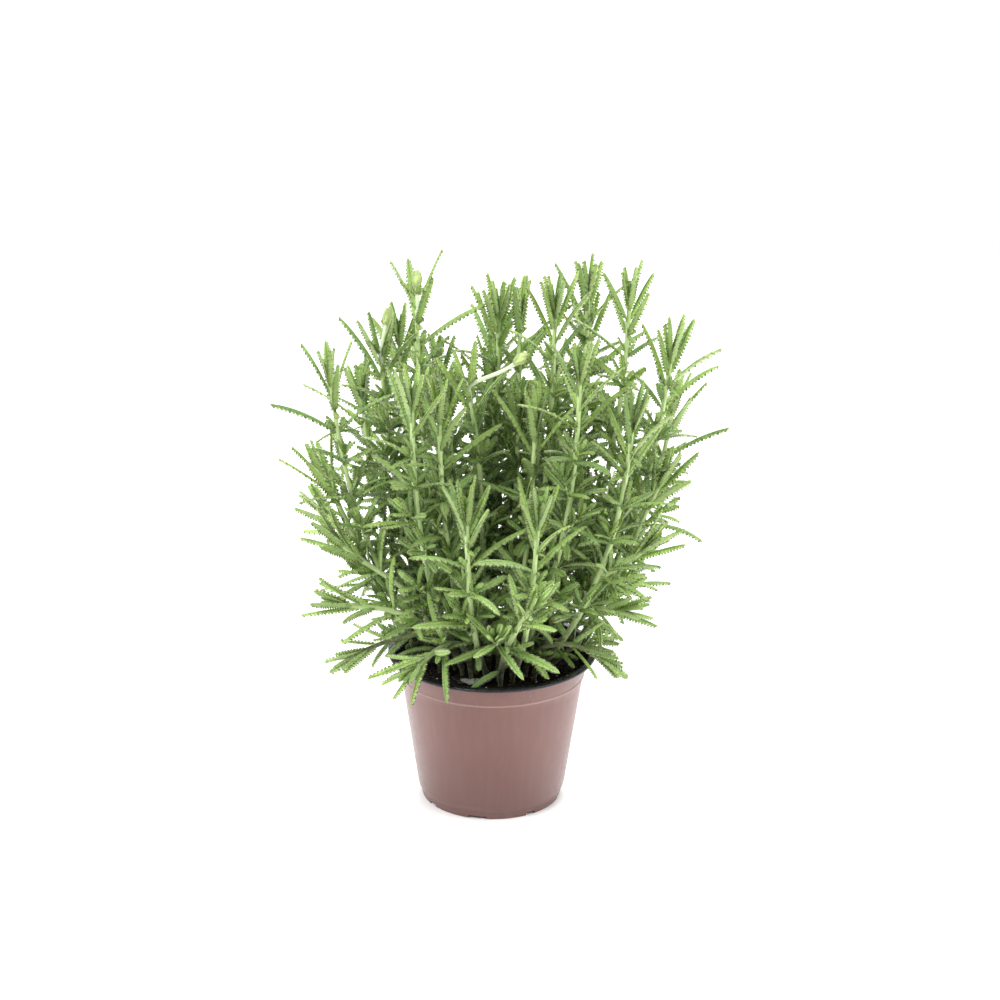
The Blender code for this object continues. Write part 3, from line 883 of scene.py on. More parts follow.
def grow_mesh(obj, tree, **values):
    """Runs a tree on an object with inputs by name, and drops what only the tree reads."""
    modifier = obj.modifiers.new(tree.name, "NODES")
    modifier.node_group = tree
    for item in tree.interface.items_tree:
        key = item.name.lower().replace(" ", "_")
        if item.item_type == "SOCKET" and item.in_out == "INPUT" and key in values:
            modifier[item.identifier] = values[key]
    obj.update_tag()
    mesh = settle(obj)
    for name in CARRIED:
        if name in mesh.attributes and name not in SHADED:
            mesh.attributes.remove(mesh.attributes[name])


# ---------------------------------------------------------------- meshes

# What the points of a carrier hold for the trees and the materials, and what materials read
CARRIED = {
    "heading": "FLOAT_VECTOR",
    "up": "FLOAT_VECTOR",
    "length": "FLOAT",
    "half_width": "FLOAT",
    "thickness": "FLOAT",
    "bend": "FLOAT",
    "twist": "FLOAT",
    "age": "FLOAT",
    "tint": "FLOAT",
    "teeth": "FLOAT",
    "is_blade": "BOOLEAN",
    "blank": "INT",
}
SHADED = ("age", "tint", "teeth")
LEAST_RADIUS = 0.001 * MM


def circle(count, radius):
    """Points round a middle, as pairs of numbers."""
    turns = [index * math.tau / count for index in range(count)]
    return [(radius * math.cos(turn), radius * math.sin(turn)) for turn in turns]


def turned(bm, profile, sides):
    """A profile of (radius, height) points turned round the axis, on which it starts and ends."""
    rings = []
    for radius, height in profile:
        places = circle(sides if radius > LEAST_RADIUS else 1, radius)
        rings.append([bm.verts.new((x, y, height)) for x, y in places])
    for low, high in zip(rings, rings[1:]):
        for side in range(sides):
            after = (side + 1) % sides
            corners = ((low, side), (low, after), (high, after), (high, side))
            bm.faces.new(dict.fromkeys(ring[place % len(ring)] for ring, place in corners))
    bmesh.ops.recalc_face_normals(bm, faces=bm.faces)


def new_object(name, mesh, *materials):
    obj = bpy.data.objects.new(name, mesh)
    bpy.context.collection.objects.link(obj)
    for material in materials:
        mesh.materials.append(material)
    return obj


def mesh_from(name, bm, smooth_angle=None):
    mesh = bpy.data.meshes.new(name)
    bm.to_mesh(mesh)
    bm.free()
    if smooth_angle is not None:
        smooth_faces(mesh, smooth_angle)
    return mesh


def smooth_faces(mesh, angle):
    """Smooth faces, with sharp edges from an angle in degrees."""
    mesh.shade_smooth()
    mesh.set_sharp_from_angle(angle=math.radians(angle))


def fill_attribute(mesh, name, kind, values):
    layer = mesh.attributes.new(name, kind, "POINT")
    if kind == "FLOAT_VECTOR":
        layer.data.foreach_set("vector", [number for value in values for number in value])
    else:
        layer.data.foreach_set("value", values)


class Carrier:
    """Loose points and paths that a tree turns into blades and stems."""

    def __init__(self):
        self.points = []
        self.edges = []
        self.columns = {name: [] for name in CARRIED}

    def add(self, place, **values):
        self.points.append(place)
        for name, column in self.columns.items():
            column.append(values.get(name, 0))

    def add_path(self, stations, age):
        """A stem through stations of a place, a side axis, a half-width and a paleness."""
        for number, (place, side, half, pale) in enumerate(stations):
            self.add(place, heading=UP, up=side, half_width=half, age=age, tint=pale)
            if number:
                self.edges.append((len(self.points) - 2, len(self.points) - 1))

    def mesh(self):
        mesh = bpy.data.meshes.new("carrier")
        mesh.from_pydata(self.points, self.edges, [])
        for name, kind in CARRIED.items():
            fill_attribute(mesh, name, kind, self.columns[name])
        return mesh


def belongs(piece, slot, *nodes):
    """A finished piece rides on the one body and stands for its frame nodes, which it hides."""
    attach(piece, BODY)
    if nodes:
        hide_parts(*nodes)


def drop(*objects):
    for obj in objects:
        mesh = obj.data
        bpy.data.objects.remove(obj)
        bpy.data.meshes.remove(mesh)


# ---------------------------------------------------------------- leaf blanks

CROWN_SHARE = 0.55
NOTCH_SHARE = 0.64
EDGE_RISE = 0.05
GROOVE_RISE = 0.42
HOLLOW_RISE = -0.05
TOOTH_DROP = 0.62
TOOTH_START = 0.3
TOOTH_END = 0.74
FIRST_TOOTH = 0.07
LAST_TOOTH = 0.955
BLADE_CREASE = 75
BLANK_TEETH = (4, 6, 10, 16)
BLANK_LENGTHS = (9 * MM, 14 * MM, 24 * MM)
SECTION_CORNERS = 12
SECTION_RADII = (0.92, 1.08, 1.08)


def pointed(along):
    """Half-width over the teeth at a share of the length: a narrow foot and a long pointed end."""
    foot = min(1, 0.42 + 2.4 * along)
    return foot * (1 if along < 0.56 else 1 - 0.7 * ((along - 0.56) / 0.44) ** 2)


def blunt(along):
    """Half-width of a short leaf: it widens to the far half and ends round."""
    foot = min(1, 0.36 + 1.3 * along)
    return foot * (1 if along < 0.7 else 1 - 0.62 * ((along - 0.7) / 0.3) ** 2.4)


def bract_outline(along):
    """Half-width of a bud scale: broad, with a short point."""
    return math.sin(math.pi * (0.14 + 0.86 * along**0.8)) ** 0.75 if along < 1 else 0


def blade_blank(name, teeth, outline, notch=NOTCH_SHARE, drop=TOOTH_DROP):
    """A blade to be bent later: x across from -1 to 1, y along from 0 to 1, z the rise.

    Its halves arch from the groove over the midrib down to the teeth, as rolled margins do.
    Whole rows run across at every second notch, and one face carries the two teeth between them.
    """
    bm = bmesh.new()
    under = bm.faces.layers.float.new("under")
    edge_share = bm.verts.layers.float.new("edge")
    pitch = (LAST_TOOTH - FIRST_TOOTH) / teeth
    sides = ((0, 1, 0), (1, 2, 0), (2, 3, 0), (3, 4, 0), (4, 5, 1), (5, 0, 1))

    def row(along):
        body = outline(along) * notch
        crown = body * CROWN_SHARE
        half = [(body, EDGE_RISE), (crown, 1)]
        places = [*((-x, z) for x, z in half), (0, GROOVE_RISE), *reversed(half), (0, HOLLOW_RISE)]
        return [bm.verts.new((x, along, z)) for x, z in places]

    def toothed_edge(start, sign, low, high):
        """From one row's edge to the other's, round two teeth and the notch between them."""
        edge = [low]
        for tooth in (0, 1):
            for part in (TOOTH_START, TOOTH_END):
                along = start + pitch * (tooth + part)
                edge.append(bm.verts.new((sign * outline(along), along, -drop)))
                edge[-1][edge_share] = 1
            if tooth == 0:
                along = start + pitch
                edge.append(bm.verts.new((sign * outline(along) * notch, along, EDGE_RISE)))
        return [*edge, high]

    def close(verts, is_under=0):
        bm.faces.new(verts)[under] = is_under

    foot = row(0)
    low = row(FIRST_TOOTH)
    close(foot)
    for near, far, is_under in sides:
        close((foot[near], foot[far], low[far], low[near]), is_under)
    for block in range(teeth // 2):
        start = FIRST_TOOTH + 2 * block * pitch
        high = row(start + 2 * pitch)
        left = toothed_edge(start, -1, low[0], high[0])
        right = toothed_edge(start, 1, low[4], high[4])
        for near, far, _ in sides[1:3]:
            close((low[near], low[far], high[far], high[near]))
        for edge, crown in ((left, 1), (right, 3)):
            close((low[crown], *edge, high[crown]))
            close((low[5], *edge, high[5]), 1)
        low = high
    tip = bm.verts.new((0, 1, 0.2))
    for near, far, is_under in sides:
        close((low[near], low[far], tip), is_under)
    bmesh.ops.recalc_face_normals(bm, faces=bm.faces)
    mesh = mesh_from(name, bm, BLADE_CREASE)
    fill_attribute(mesh, "blade", "FLOAT_VECTOR", [vert.co for vert in mesh.vertices])
    return bpy.data.objects.new(name, mesh)


def blank_for(length):
    """Which blank, from the shortest to the longest, a leaf of this length is cut from."""
    return sum(length > limit for limit in BLANK_LENGTHS)


def blank_collection(name, blanks):
    """The blanks in a collection, where a tree picks them in the order of their names."""
    collection = bpy.data.collections.new(name)
    for blank in blanks:
        collection.objects.link(blank)
    bpy.context.scene.collection.children.link(collection)
    return collection


def drop_collection(collection):
    drop(*list(collection.objects))
    bpy.data.collections.remove(collection)


def bent_place(tree):
    """Where a point of a blank lies once its blade is bent away from its upper side and twisted."""
    blade, heading, up = (attribute(tree, name, "FLOAT_VECTOR") for name in ("blade", "heading", "up"))
    bend, length, twist, half_width, thickness = (
        attribute(tree, name) for name in ("bend", "length", "twist", "half_width", "thickness")
    )
    root = add_node(tree, "GeometryNodeInputPosition") - blade
    across, along, rise = blade.parts()
    turn = bend * along
    sine, cosine = turn.maths("SINE"), turn.maths("COSINE")
    radius = length / bend
    middle = root + heading * (radius * sine) + up * (radius * (cosine - 1.0))
    normal = up * cosine + heading * sine
    wide = heading.maths("CROSS_PRODUCT", up)
    twist = twist * along
    twist_sine, twist_cosine = twist.maths("SINE"), twist.maths("COSINE")
    wide_now = wide * twist_cosine + normal * twist_sine
    normal_now = normal * twist_cosine - wide * twist_sine
    return middle + wide_now * (across * half_width) + normal_now * (rise * thickness)


def real_instances(points, blanks, pick, **more):
    """Blanks placed on points, each by its number in the collection, and made real."""
    tree = points.tree
    inputs = {"Collection": blanks, "Separate Children": True, "Reset Children": True}
    picks = add_node(tree, "GeometryNodeCollectionInfo", inputs)
    inputs = {"Points": points, "Instance": picks, "Pick Instance": True, "Instance Index": pick, **more}
    placed = add_node(tree, "GeometryNodeInstanceOnPoints", inputs)
    return add_node(tree, "GeometryNodeRealizeInstances", {"Geometry": placed})


def painted(geometry, material):
    return add_node(geometry.tree, "GeometryNodeSetMaterial", {"Geometry": geometry, "Material": material})


def blades_from(points, blanks, material):
    """Instances of the blanks on blade points, made real, bent and given their material."""
    tree = points.tree
    real = real_instances(points, blanks, attribute(tree, "blank", "INT"))
    bent = add_node(tree, "GeometryNodeSetPosition", {"Geometry": real, "Position": bent_place(tree)})
    return painted(bent, material)


def leafy_shoot_tree():
    """Stems swept along their paths and blades on their points, joined to one mesh."""
    tree, given, end = geometry_tree(
        "Leafy Shoot",
        ("Blanks", "Collection"),
        ("Section", "Object"),
        ("Leaf Material", "Material"),
        ("Stem Material", "Material"),
    )
    inputs = {"Geometry": given["Geometry"], "Selection": attribute(tree, "is_blade", "BOOLEAN")}
    parts = add_node(tree, "GeometryNodeSeparateGeometry", inputs)
    leaves = blades_from(parts, given["Blanks"], given["Leaf Material"])
    paths = add_node(tree, "GeometryNodeMeshToCurve", {"Mesh": parts.output(1)})
    inputs = {"Curve": paths, "Normal": attribute(tree, "up", "FLOAT_VECTOR")}
    facing = add_node(tree, "GeometryNodeSetCurveNormal", inputs, mode="FREE")
    section = add_node(tree, "GeometryNodeObjectInfo", {"Object": given["Section"]}, "Geometry")
    outline = add_node(tree, "GeometryNodeMeshToCurve", {"Mesh": section})
    scale = attribute(tree, "half_width")
    inputs = {"Curve": facing, "Profile Curve": outline, "Scale": scale, "Fill Caps": True}
    swept = add_node(tree, "GeometryNodeCurveToMesh", inputs)
    smooth = add_node(tree, "GeometryNodeSetShadeSmooth", {"Geometry": swept, "Shade Smooth": True})
    both = add_node(tree, "GeometryNodeJoinGeometry", {0: painted(smooth, given["Stem Material"])})
    feed(both.socket.node.inputs[0], leaves)
    feed(end, both)
    return tree


def stem_section():
    """The outline that a stem is swept with: square, with a groove down each side."""
    bm = bmesh.new()
    verts = []
    for index in range(SECTION_CORNERS):
        turn = index * math.tau / SECTION_CORNERS
        radius = SECTION_RADII[index % len(SECTION_RADII)]
        verts.append(bm.verts.new((radius * math.cos(turn), radius * math.sin(turn), 0)))
    for a, b in zip(verts, verts[1:] + verts[:1]):
        bm.edges.new((a, b))
    return bpy.data.objects.new("stem_section", mesh_from("stem_section", bm))


# ---------------------------------------------------------------- shader groups and materials


class Paint:
    """A material in the making. Its colour is laid on in layers, each over those before."""

    def __init__(self, name, roughness, **values):
        self.material = bpy.data.materials.new(name)
        self.material.use_nodes = True
        self.tree = self.material.node_tree
        self.inputs = self.tree.nodes["Principled BSDF"].inputs
        for key, value in {"roughness": roughness, **values}.items():
            self.inputs[key.replace("_", " ").title().replace("Ior", "IOR")].default_value = value
        self.place = add_node(self.tree, "ShaderNodeTexCoord", output="Object")

    def read(self, name, output="Fac"):
        """An attribute of the piece."""
        return add_node(self.tree, "ShaderNodeAttribute", output=output, attribute_name=name)

    def group(self, group, **sizes):
        """The first output of a shared effect at each place."""
        return add_node(self.tree, "ShaderNodeGroup", {"Vector": self.place, **sizes}, node_tree=group)

    def mix(self, factor, first, second, blend="MIX"):
        """The second colour over the first by a factor from 0 to 1."""
        first, second = (color if isinstance(color, Wire) else (*color[:3], 1) for color in (first, second))
        inputs = {0: factor, 6: first, 7: second}
        return add_node(self.tree, "ShaderNodeMix", inputs, 2, data_type="RGBA", blend_type=blend)

    def layer(self, factor, color):
        self.color = self.mix(factor, self.color, color)

    def finish(self, height, distance, roughness=None):
        """The material, with its colour, its bump and, where it varies, its roughness."""
        feed(self.inputs["Base Color"], self.color)
        if roughness is not None:
            feed(self.inputs["Roughness"], roughness)
        inputs = {"Height": height, "Distance": distance, "Strength": 1.0}
        feed(self.inputs["Normal"], add_node(self.tree, "ShaderNodeBump", inputs))
        return self.material


def shader_group(name, outputs, **sizes):
    """A shared effect: its tree, the wires of its place and sizes, and its output sockets."""
    tree = bpy.data.node_groups.new(name, "ShaderNodeTree")
    new_socket(tree, "Vector", "INPUT", "Vector")
    for key, default in sizes.items():
        new_socket(tree, key, "INPUT", "Float", default)
    for key in outputs:
        new_socket(tree, key, "OUTPUT", "Float")
    start = tree.nodes.new("NodeGroupInput")
    end = tree.nodes.new("NodeGroupOutput")
    return tree, [wire_from(start.outputs[key]) for key in ("Vector", *sizes)], end.inputs


@functools.cache
def mottle_group():
    """Slow changes of tone over a surface, from 0 to 1, finer ones on top of broad ones."""
    tree, (place, size), ends = shader_group("Mottle", ("Tone", "Fine Tone"), Size=10 * MM)
    scale = 1.0 / size
    feed(ends["Tone"], place.noise(scale, 2.0).ramp(0.3, 0.7))
    feed(ends["Fine Tone"], place.noise(scale * 4.7, 4.0, 0.65).ramp(0.3, 0.7))
    return tree


@functools.cache
def felt_group():
    """The down of short hairs on leaves, stems and buds: a pale veil and a soft height."""
    tree, (place, size), ends = shader_group("Felt", ("Veil", "Height"), Size=0.35 * MM)
    scale = 1.0 / size
    hairs = place.noise(scale, 3.0, 0.7)
    patches = place.noise(scale * 0.12, 2.0)
    feed(ends["Veil"], hairs.ramp(0.42, 0.72) * patches.ramp(0.3, 0.75, 0.35, 1.0))
    feed(ends["Height"], hairs)
    return tree


@functools.cache
def specks_group():
    """Sparse specks of dust or grit, sharp-edged, each a share of its cell."""
    tree, (place, spacing, share), ends = shader_group("Specks", ("Mask",), Spacing=8 * MM, Share=0.06)
    inputs = {"Vector": place, "Scale": 1.0 / spacing, "Randomness": 1.0}
    cells = add_node(tree, "ShaderNodeTexVoronoi", inputs, "Distance")
    pick = add_node(tree, "ShaderNodeSeparateColor", {0: cells.output("Color")})
    feed(ends["Mask"], cells.maths("LESS_THAN", share * pick))
    return tree


FELT_SIZE = 0.3 * MM
FELT_COLOR = (0.62, 0.73, 0.46)
LEAF_GLOW = 0.4
LEAF_GLOW_REACH = 1.2 * MM
GLOW_COLOR = (0.7, 1.0, 0.2)
# Where the painted shade inside the bush and the painted light on its outside begin and end, from its axis
# and over the floor
RIM_LIGHT_START = 45 * MM
RIM_LIGHT_REACH = 85 * MM
RIM_LIGHT_TOP = 230 * MM
RIM_LIGHT_LOW = 130 * MM
CORE_SHADE_REACH = 95 * MM
CORE_SHADE_FULL = 40 * MM
CORE_SHADE_TOP = 270 * MM
CORE_SHADE_LOW = 190 * MM


def leaf_material(settings):
    """Blades by age: yellow-green when young, grey-green felt when grown, paler below."""
    paint = Paint(
        "lavender_leaf",
        0.55,
        subsurface_weight=LEAF_GLOW,
        subsurface_scale=LEAF_GLOW_REACH,
        subsurface_radius=GLOW_COLOR,
        sheen_weight=0.07,
        sheen_roughness=0.4,
        specular_ior_level=0.45,
    )
    across, along, _ = paint.read("blade", "Vector").parts()
    across = across.maths("ABSOLUTE")
    age, tint, under, teeth, edge = (paint.read(name) for name in ("age", "tint", "under", "teeth", "edge"))
    tone = paint.group(mottle_group(), Size=7 * MM) * 0.3 + 0.85
    felt = paint.group(felt_group(), Size=FELT_SIZE)

    paint.color = paint.mix(age.ramp(0.1, 0.85), settings.young, settings.grown)
    # Blades differ: some yellower, some bluer
    paint.layer(tint.ramp(0.5, 1.0, 0.0, 0.55), (0.24, 0.36, 0.03))
    paint.layer(tint.ramp(0.5, 0.0, 0.0, 0.62), (0.12, 0.25, 0.07))
    # Blades inside the bush are painted a deeper green, as shade, and low outer ones paler, as painted
    # light
    height = paint.place.parts()[2]
    out = paint.place.maths("MULTIPLY", (1, 1, 0)).maths("LENGTH")
    inner = out.ramp(CORE_SHADE_REACH, CORE_SHADE_FULL) * height.ramp(CORE_SHADE_TOP, CORE_SHADE_LOW, 0.0, 0.6)
    paint.layer(inner, (0.10, 0.20, 0.02))
    outer = out.ramp(RIM_LIGHT_START, RIM_LIGHT_REACH) * height.ramp(RIM_LIGHT_TOP, RIM_LIGHT_LOW, 0.0, 0.5)
    paint.layer(outer, (0.52, 0.72, 0.24))
    shade = add_node(paint.tree, "ShaderNodeCombineColor", {0: tone, 1: tone, 2: tone})
    paint.color = paint.mix(1.0, paint.color, shade, "MULTIPLY")
    # The lamina is quilted between the side veins, one to a tooth
    quilt = ((along * teeth * math.tau).maths("SINE") * 0.5 + 0.5) * across.ramp(0.06, 0.3)
    paint.layer(quilt * 0.3, (0.05, 0.10, 0.015))
    # A pale groove over the midrib, down, and a dry point
    rib = across.ramp(0.09, 0.02)
    paint.layer(rib * 0.4, (0.42, 0.58, 0.17))
    paint.layer(felt * age.ramp(0.0, 0.8, 0.1, 0.36), FELT_COLOR)
    paint.layer(along.ramp(0.86, 1.0) * age.ramp(0.2, 0.7, 0.1, 0.6), settings.tip)
    paint.layer(under, paint.mix(0.5, paint.color, settings.under))
    # The rolled teeth are painted dark on both sides, as shade
    paint.layer(edge.ramp(0.1, 0.5) * age.ramp(0.0, 0.4, 0.84, 0.8), (0.022, 0.032, 0.010))
    relief = felt.output("Height") * 0.35 + (quilt * -0.6 + rib * -1.0)
    return paint.finish(relief, 0.25 * MM, felt * 0.2 + 0.38)


def stem_material(settings):
    """Square stems: pale and felted above, wood-brown at the soil and painted darker there as shade, nearly
    white on flower stalks.
    """
    paint = Paint(
        "lavender_stem",
        0.55,
        subsurface_weight=0.2,
        subsurface_scale=1 * MM,
        subsurface_radius=GLOW_COLOR,
        sheen_weight=0.3,
        sheen_roughness=0.4,
    )
    felt = paint.group(felt_group(), Size=FELT_SIZE)
    mottle = paint.group(mottle_group(), Size=9 * MM)
    grain = paint.place.stretched((2200, 2200, 160)).noise(1.0)
    paint.color = paint.mix(mottle * 0.22, settings.green, (0.30, 0.45, 0.12))
    # Wood-brown at the soil, partly the real wood and partly painted shade
    woody_shade_mask = paint.place.parts()[2].ramp(SOIL_TOP + 48 * MM, SOIL_TOP + 14 * MM)
    woody_shade_mask = woody_shade_mask * mottle.output("Fine Tone").ramp(0.1, 0.6, 0.75, 1.0)
    paint.layer(woody_shade_mask, settings.woody_in_shade)
    paint.layer(grain.ramp(0.45, 0.75) * 0.25, (0.20, 0.30, 0.09))
    paint.layer(felt * woody_shade_mask.ramp(0.0, 0.8, 0.3, 0.05), (0.62, 0.72, 0.48))
    paint.layer(paint.read("age") * 0.25, (0.14, 0.22, 0.06))
    paint.layer(paint.read("tint") * 0.92, settings.stalk)
    return paint.finish(grain * 0.6 + felt.output("Height") * 0.4, 0.2 * MM)


def bract_material(settings):
    """Bud scales: yellow-green, ribbed lengthwise, with thin pale margins."""
    paint = Paint(
        "lavender_bract",
        0.5,
        subsurface_weight=0.25,
        subsurface_scale=1.6 * MM,
        subsurface_radius=GLOW_COLOR,
        sheen_weight=0.12,
        sheen_roughness=0.4,
    )
    across, along, _ = paint.read("blade", "Vector").parts()
    felt = paint.group(felt_group(), Size=FELT_SIZE)
    ribs = (across * 26.0).maths("SINE") * 0.5 + 0.5
    paint.color = paint.mix(ribs * 0.3, settings.bract, (0.36, 0.54, 0.12))
    paint.layer(paint.group(mottle_group(), Size=4 * MM) * 0.25, (0.58, 0.70, 0.30))
    edge = across.maths("ABSOLUTE").ramp(0.4, 0.62).maths("MAXIMUM", along.ramp(0.72, 1.0))
    paint.layer(edge * 0.8, settings.bract_edge)
    paint.layer(felt * 0.25, (0.8, 0.86, 0.66))
    return paint.finish(felt.output("Height") * 0.5 + ribs, 0.2 * MM)


def pot_outside_material(settings):
    """Semi-gloss brown plastic: faint flow streaks, dust specks, and scuffs at the foot."""
    paint = Paint("pot_outside", 0.34, coat_weight=0.26, coat_roughness=0.25, coat_ior=1.5)
    mottle = paint.group(mottle_group(), Size=22 * MM)
    dust = paint.group(specks_group(), Spacing=12 * MM, Share=0.035)
    flow = paint.place.stretched((260, 260, 14)).noise(1.0)
    height = paint.place.parts()[2]
    paint.color = paint.mix(mottle * 0.4, settings.outside, (0.172, 0.074, 0.062))
    paint.layer(flow.ramp(0.35, 0.7) * 0.16, (0.24, 0.13, 0.11))
    scuffs = height.ramp(9 * MM, 1 * MM) * paint.place.noise(420.0, 5.0, 0.7).ramp(0.5, 0.62)
    paint.layer(scuffs * 0.14, (0.36, 0.26, 0.23))
    # Painted shade darkens the pot towards the foot, and the bead under the band is painted pale, partly as
    # rubbed wear and partly as a painted highlight
    paint.layer(height.ramp(60 * MM, 2 * MM) * 0.3, (0.06, 0.03, 0.026))
    # Painted highlight along the bead, partly rubbed wear
    bead_highlight_low = height.ramp(BEAD_HEIGHT - 0.1 * MM, BEAD_HEIGHT + 0.3 * MM)
    bead_highlight_high = height.ramp(BEAD_HEIGHT + 1.5 * MM, BEAD_HEIGHT + 0.9 * MM)
    paint.layer(bead_highlight_low * bead_highlight_high * 0.5, (0.46, 0.31, 0.27))
    paint.layer(dust * 0.45, (0.55, 0.45, 0.4))
    roughness = scuffs * 0.25 + (mottle.output("Fine Tone") * 0.08 + 0.32)
    return paint.finish(flow * 0.5 + dust * 0.8, 0.12 * MM, roughness)


def pot_inside_material(settings):
    """The black layer of the lip and the inner wall, with dried splashes of soil."""
    paint = Paint("pot_inside", 0.2, specular_ior_level=0.35)
    mottle = paint.group(mottle_group(), Size=6 * MM)
    fine = mottle.output("Fine Tone")
    splash = paint.group(specks_group(), Spacing=2.6 * MM, Share=0.16) * fine
    paint.color = paint.mix(mottle * 0.5, settings.inside, (0.014, 0.0145, 0.017))
    paint.layer(splash * 0.6, (0.10, 0.085, 0.07))
    return paint.finish(splash + fine, 0.12 * MM, fine * 0.14 + 0.16)


def grain_material(name, base, pale, size, roughness=0.95):
    """Soil parts: a rough, broken tone between two colours."""
    paint = Paint(name, roughness, specular_ior_level=0.25)
    mottle = paint.group(mottle_group(), Size=size)
    paint.color = paint.mix(mottle.output("Fine Tone"), base, pale)
    paint.layer(mottle * 0.5, [part * 0.45 for part in base])
    return paint.finish(mottle.output("Fine Tone"), 0.3 * MM)


def withered_material(settings):
    """A dead leaf: pale grey, mottled brown and blotched dark."""
    paint = Paint("withered_leaf", 0.8)
    mottle = paint.group(mottle_group(), Size=3 * MM)
    paint.color = paint.mix(mottle * 0.7, settings.withered, (0.12, 0.10, 0.075))
    paint.layer(paint.group(specks_group(), Spacing=0.9 * MM, Share=0.3) * 0.5, (0.05, 0.04, 0.03))
    return paint.finish(mottle.output("Fine Tone"), 0.3 * MM)


# ---------------------------------------------------------------- pot

# The rolled lip stands a little higher than the frame's flat one
RIM_TOP = POT_HEIGHT + 0.9 * MM
SLOT_LENGTH = 8 * MM
SLOT_ROUND = 0.9 * MM
DRAIN_SIDES = 24
DRAIN_DEPTH = 6 * MM


def arc(middle_radius, middle_height, size, start, stop, steps=5):
    """Points of a profile's round corner, from one angle to another in degrees."""
    points = []
    for index in range(steps + 1):
        turn = math.radians(start + (stop - start) * index / steps)
        points.append((middle_radius + size * math.cos(turn), middle_height + size * math.sin(turn)))
    return points


def pot_outside_profile():
    """From the middle of the underside out, up the brown wall and under the lip."""
    lip_foot = RIM_TOP - LIP_THICKNESS
    bead = 0.6 * MM
    return [
        (0, 0),
        (PAD_RADIUS - 0.4 * MM, 0),
        (PAD_RADIUS, 0.2 * MM),
        (PAD_RADIUS + 0.9 * MM, RECESS_HEIGHT - 0.2 * MM),
        (PAD_RADIUS + 1.3 * MM, RECESS_HEIGHT),
        (FOOT_INNER_RADIUS - 1.2 * MM, RECESS_HEIGHT),
        (FOOT_INNER_RADIUS - 0.6 * MM, RECESS_HEIGHT - 0.3 * MM),
        *arc(FOOT_INNER_RADIUS + 0.3 * MM, 0.4 * MM, 0.4 * MM, 180, 270, 3),
        *arc(FOOT_RADIUS - 0.4 * MM, 0.4 * MM, 0.4 * MM, 270, 360, 4),
        (FOOT_RADIUS + 0.7 * MM, FOOT_HEIGHT - 0.5 * MM),
        (FOOT_RADIUS + 0.8 * MM, FOOT_HEIGHT - 0.1 * MM),
        (WALL_FOOT_RADIUS - 0.7 * MM, FOOT_HEIGHT + 0.35 * MM),
        (WALL_FOOT_RADIUS - 0.3 * MM, FOOT_HEIGHT + 1 * MM),
        (WALL_FOOT_RADIUS + 0.5 * MM, FOOT_HEIGHT + 4 * MM),
        (BEAD_RADIUS - 1.5 * MM, BEAD_HEIGHT - 4.5 * MM),
        (BEAD_RADIUS - 1 * MM, BEAD_HEIGHT - 0.8 * MM),
        (BEAD_RADIUS - 0.7 * MM, BEAD_HEIGHT - 0.3 * MM),
        *arc(BEAD_RADIUS - bead, BEAD_HEIGHT + bead, bead, -90, 60, 5),
        (BEAD_RADIUS - 0.25 * MM, BEAD_HEIGHT + 1.7 * MM),
        (BAND_TOP_RADIUS - 0.1 * MM, lip_foot - 1.6 * MM),
        *reversed(arc(BAND_TOP_RADIUS + 1 * MM, lip_foot - 1 * MM, 1 * MM, 90, 180, 4)),
    ]


def pot_inside_profile():
    """From under the lip round its edge, over its flat top and down the inner wall to the floor."""
    lip_foot = RIM_TOP - LIP_THICKNESS
    half = LIP_THICKNESS / 2
    return [
        (LIP_RADIUS - 2.2 * MM, lip_foot),
        *arc(LIP_RADIUS - half, lip_foot + half, half, -90, 60, 7),
        (LIP_RADIUS - 1.4 * MM, RIM_TOP - 0.12 * MM),
        (LIP_INNER_RADIUS + 1.1 * MM, RIM_TOP - 0.2 * MM),
        *arc(LIP_INNER_RADIUS + 0.6 * MM, RIM_TOP - 1 * MM, 0.8 * MM, 90, 165, 4),
        (LIP_INNER_RADIUS - 0.9 * MM, RIM_TOP - 3.4 * MM),
        (WALL_TOP_RADIUS - WALL, BAND_FOOT_HEIGHT - 1 * MM),
        (wall_radius(FOOT_HEIGHT + 2 * MM), FOOT_HEIGHT + 2 * MM),
        (wall_radius(FOOT_HEIGHT) - 0.4 * MM, FOOT_HEIGHT),
        (wall_radius(FOOT_HEIGHT) - 1.6 * MM, FLOOR_TOP),
        (0, FLOOR_TOP),
    ]


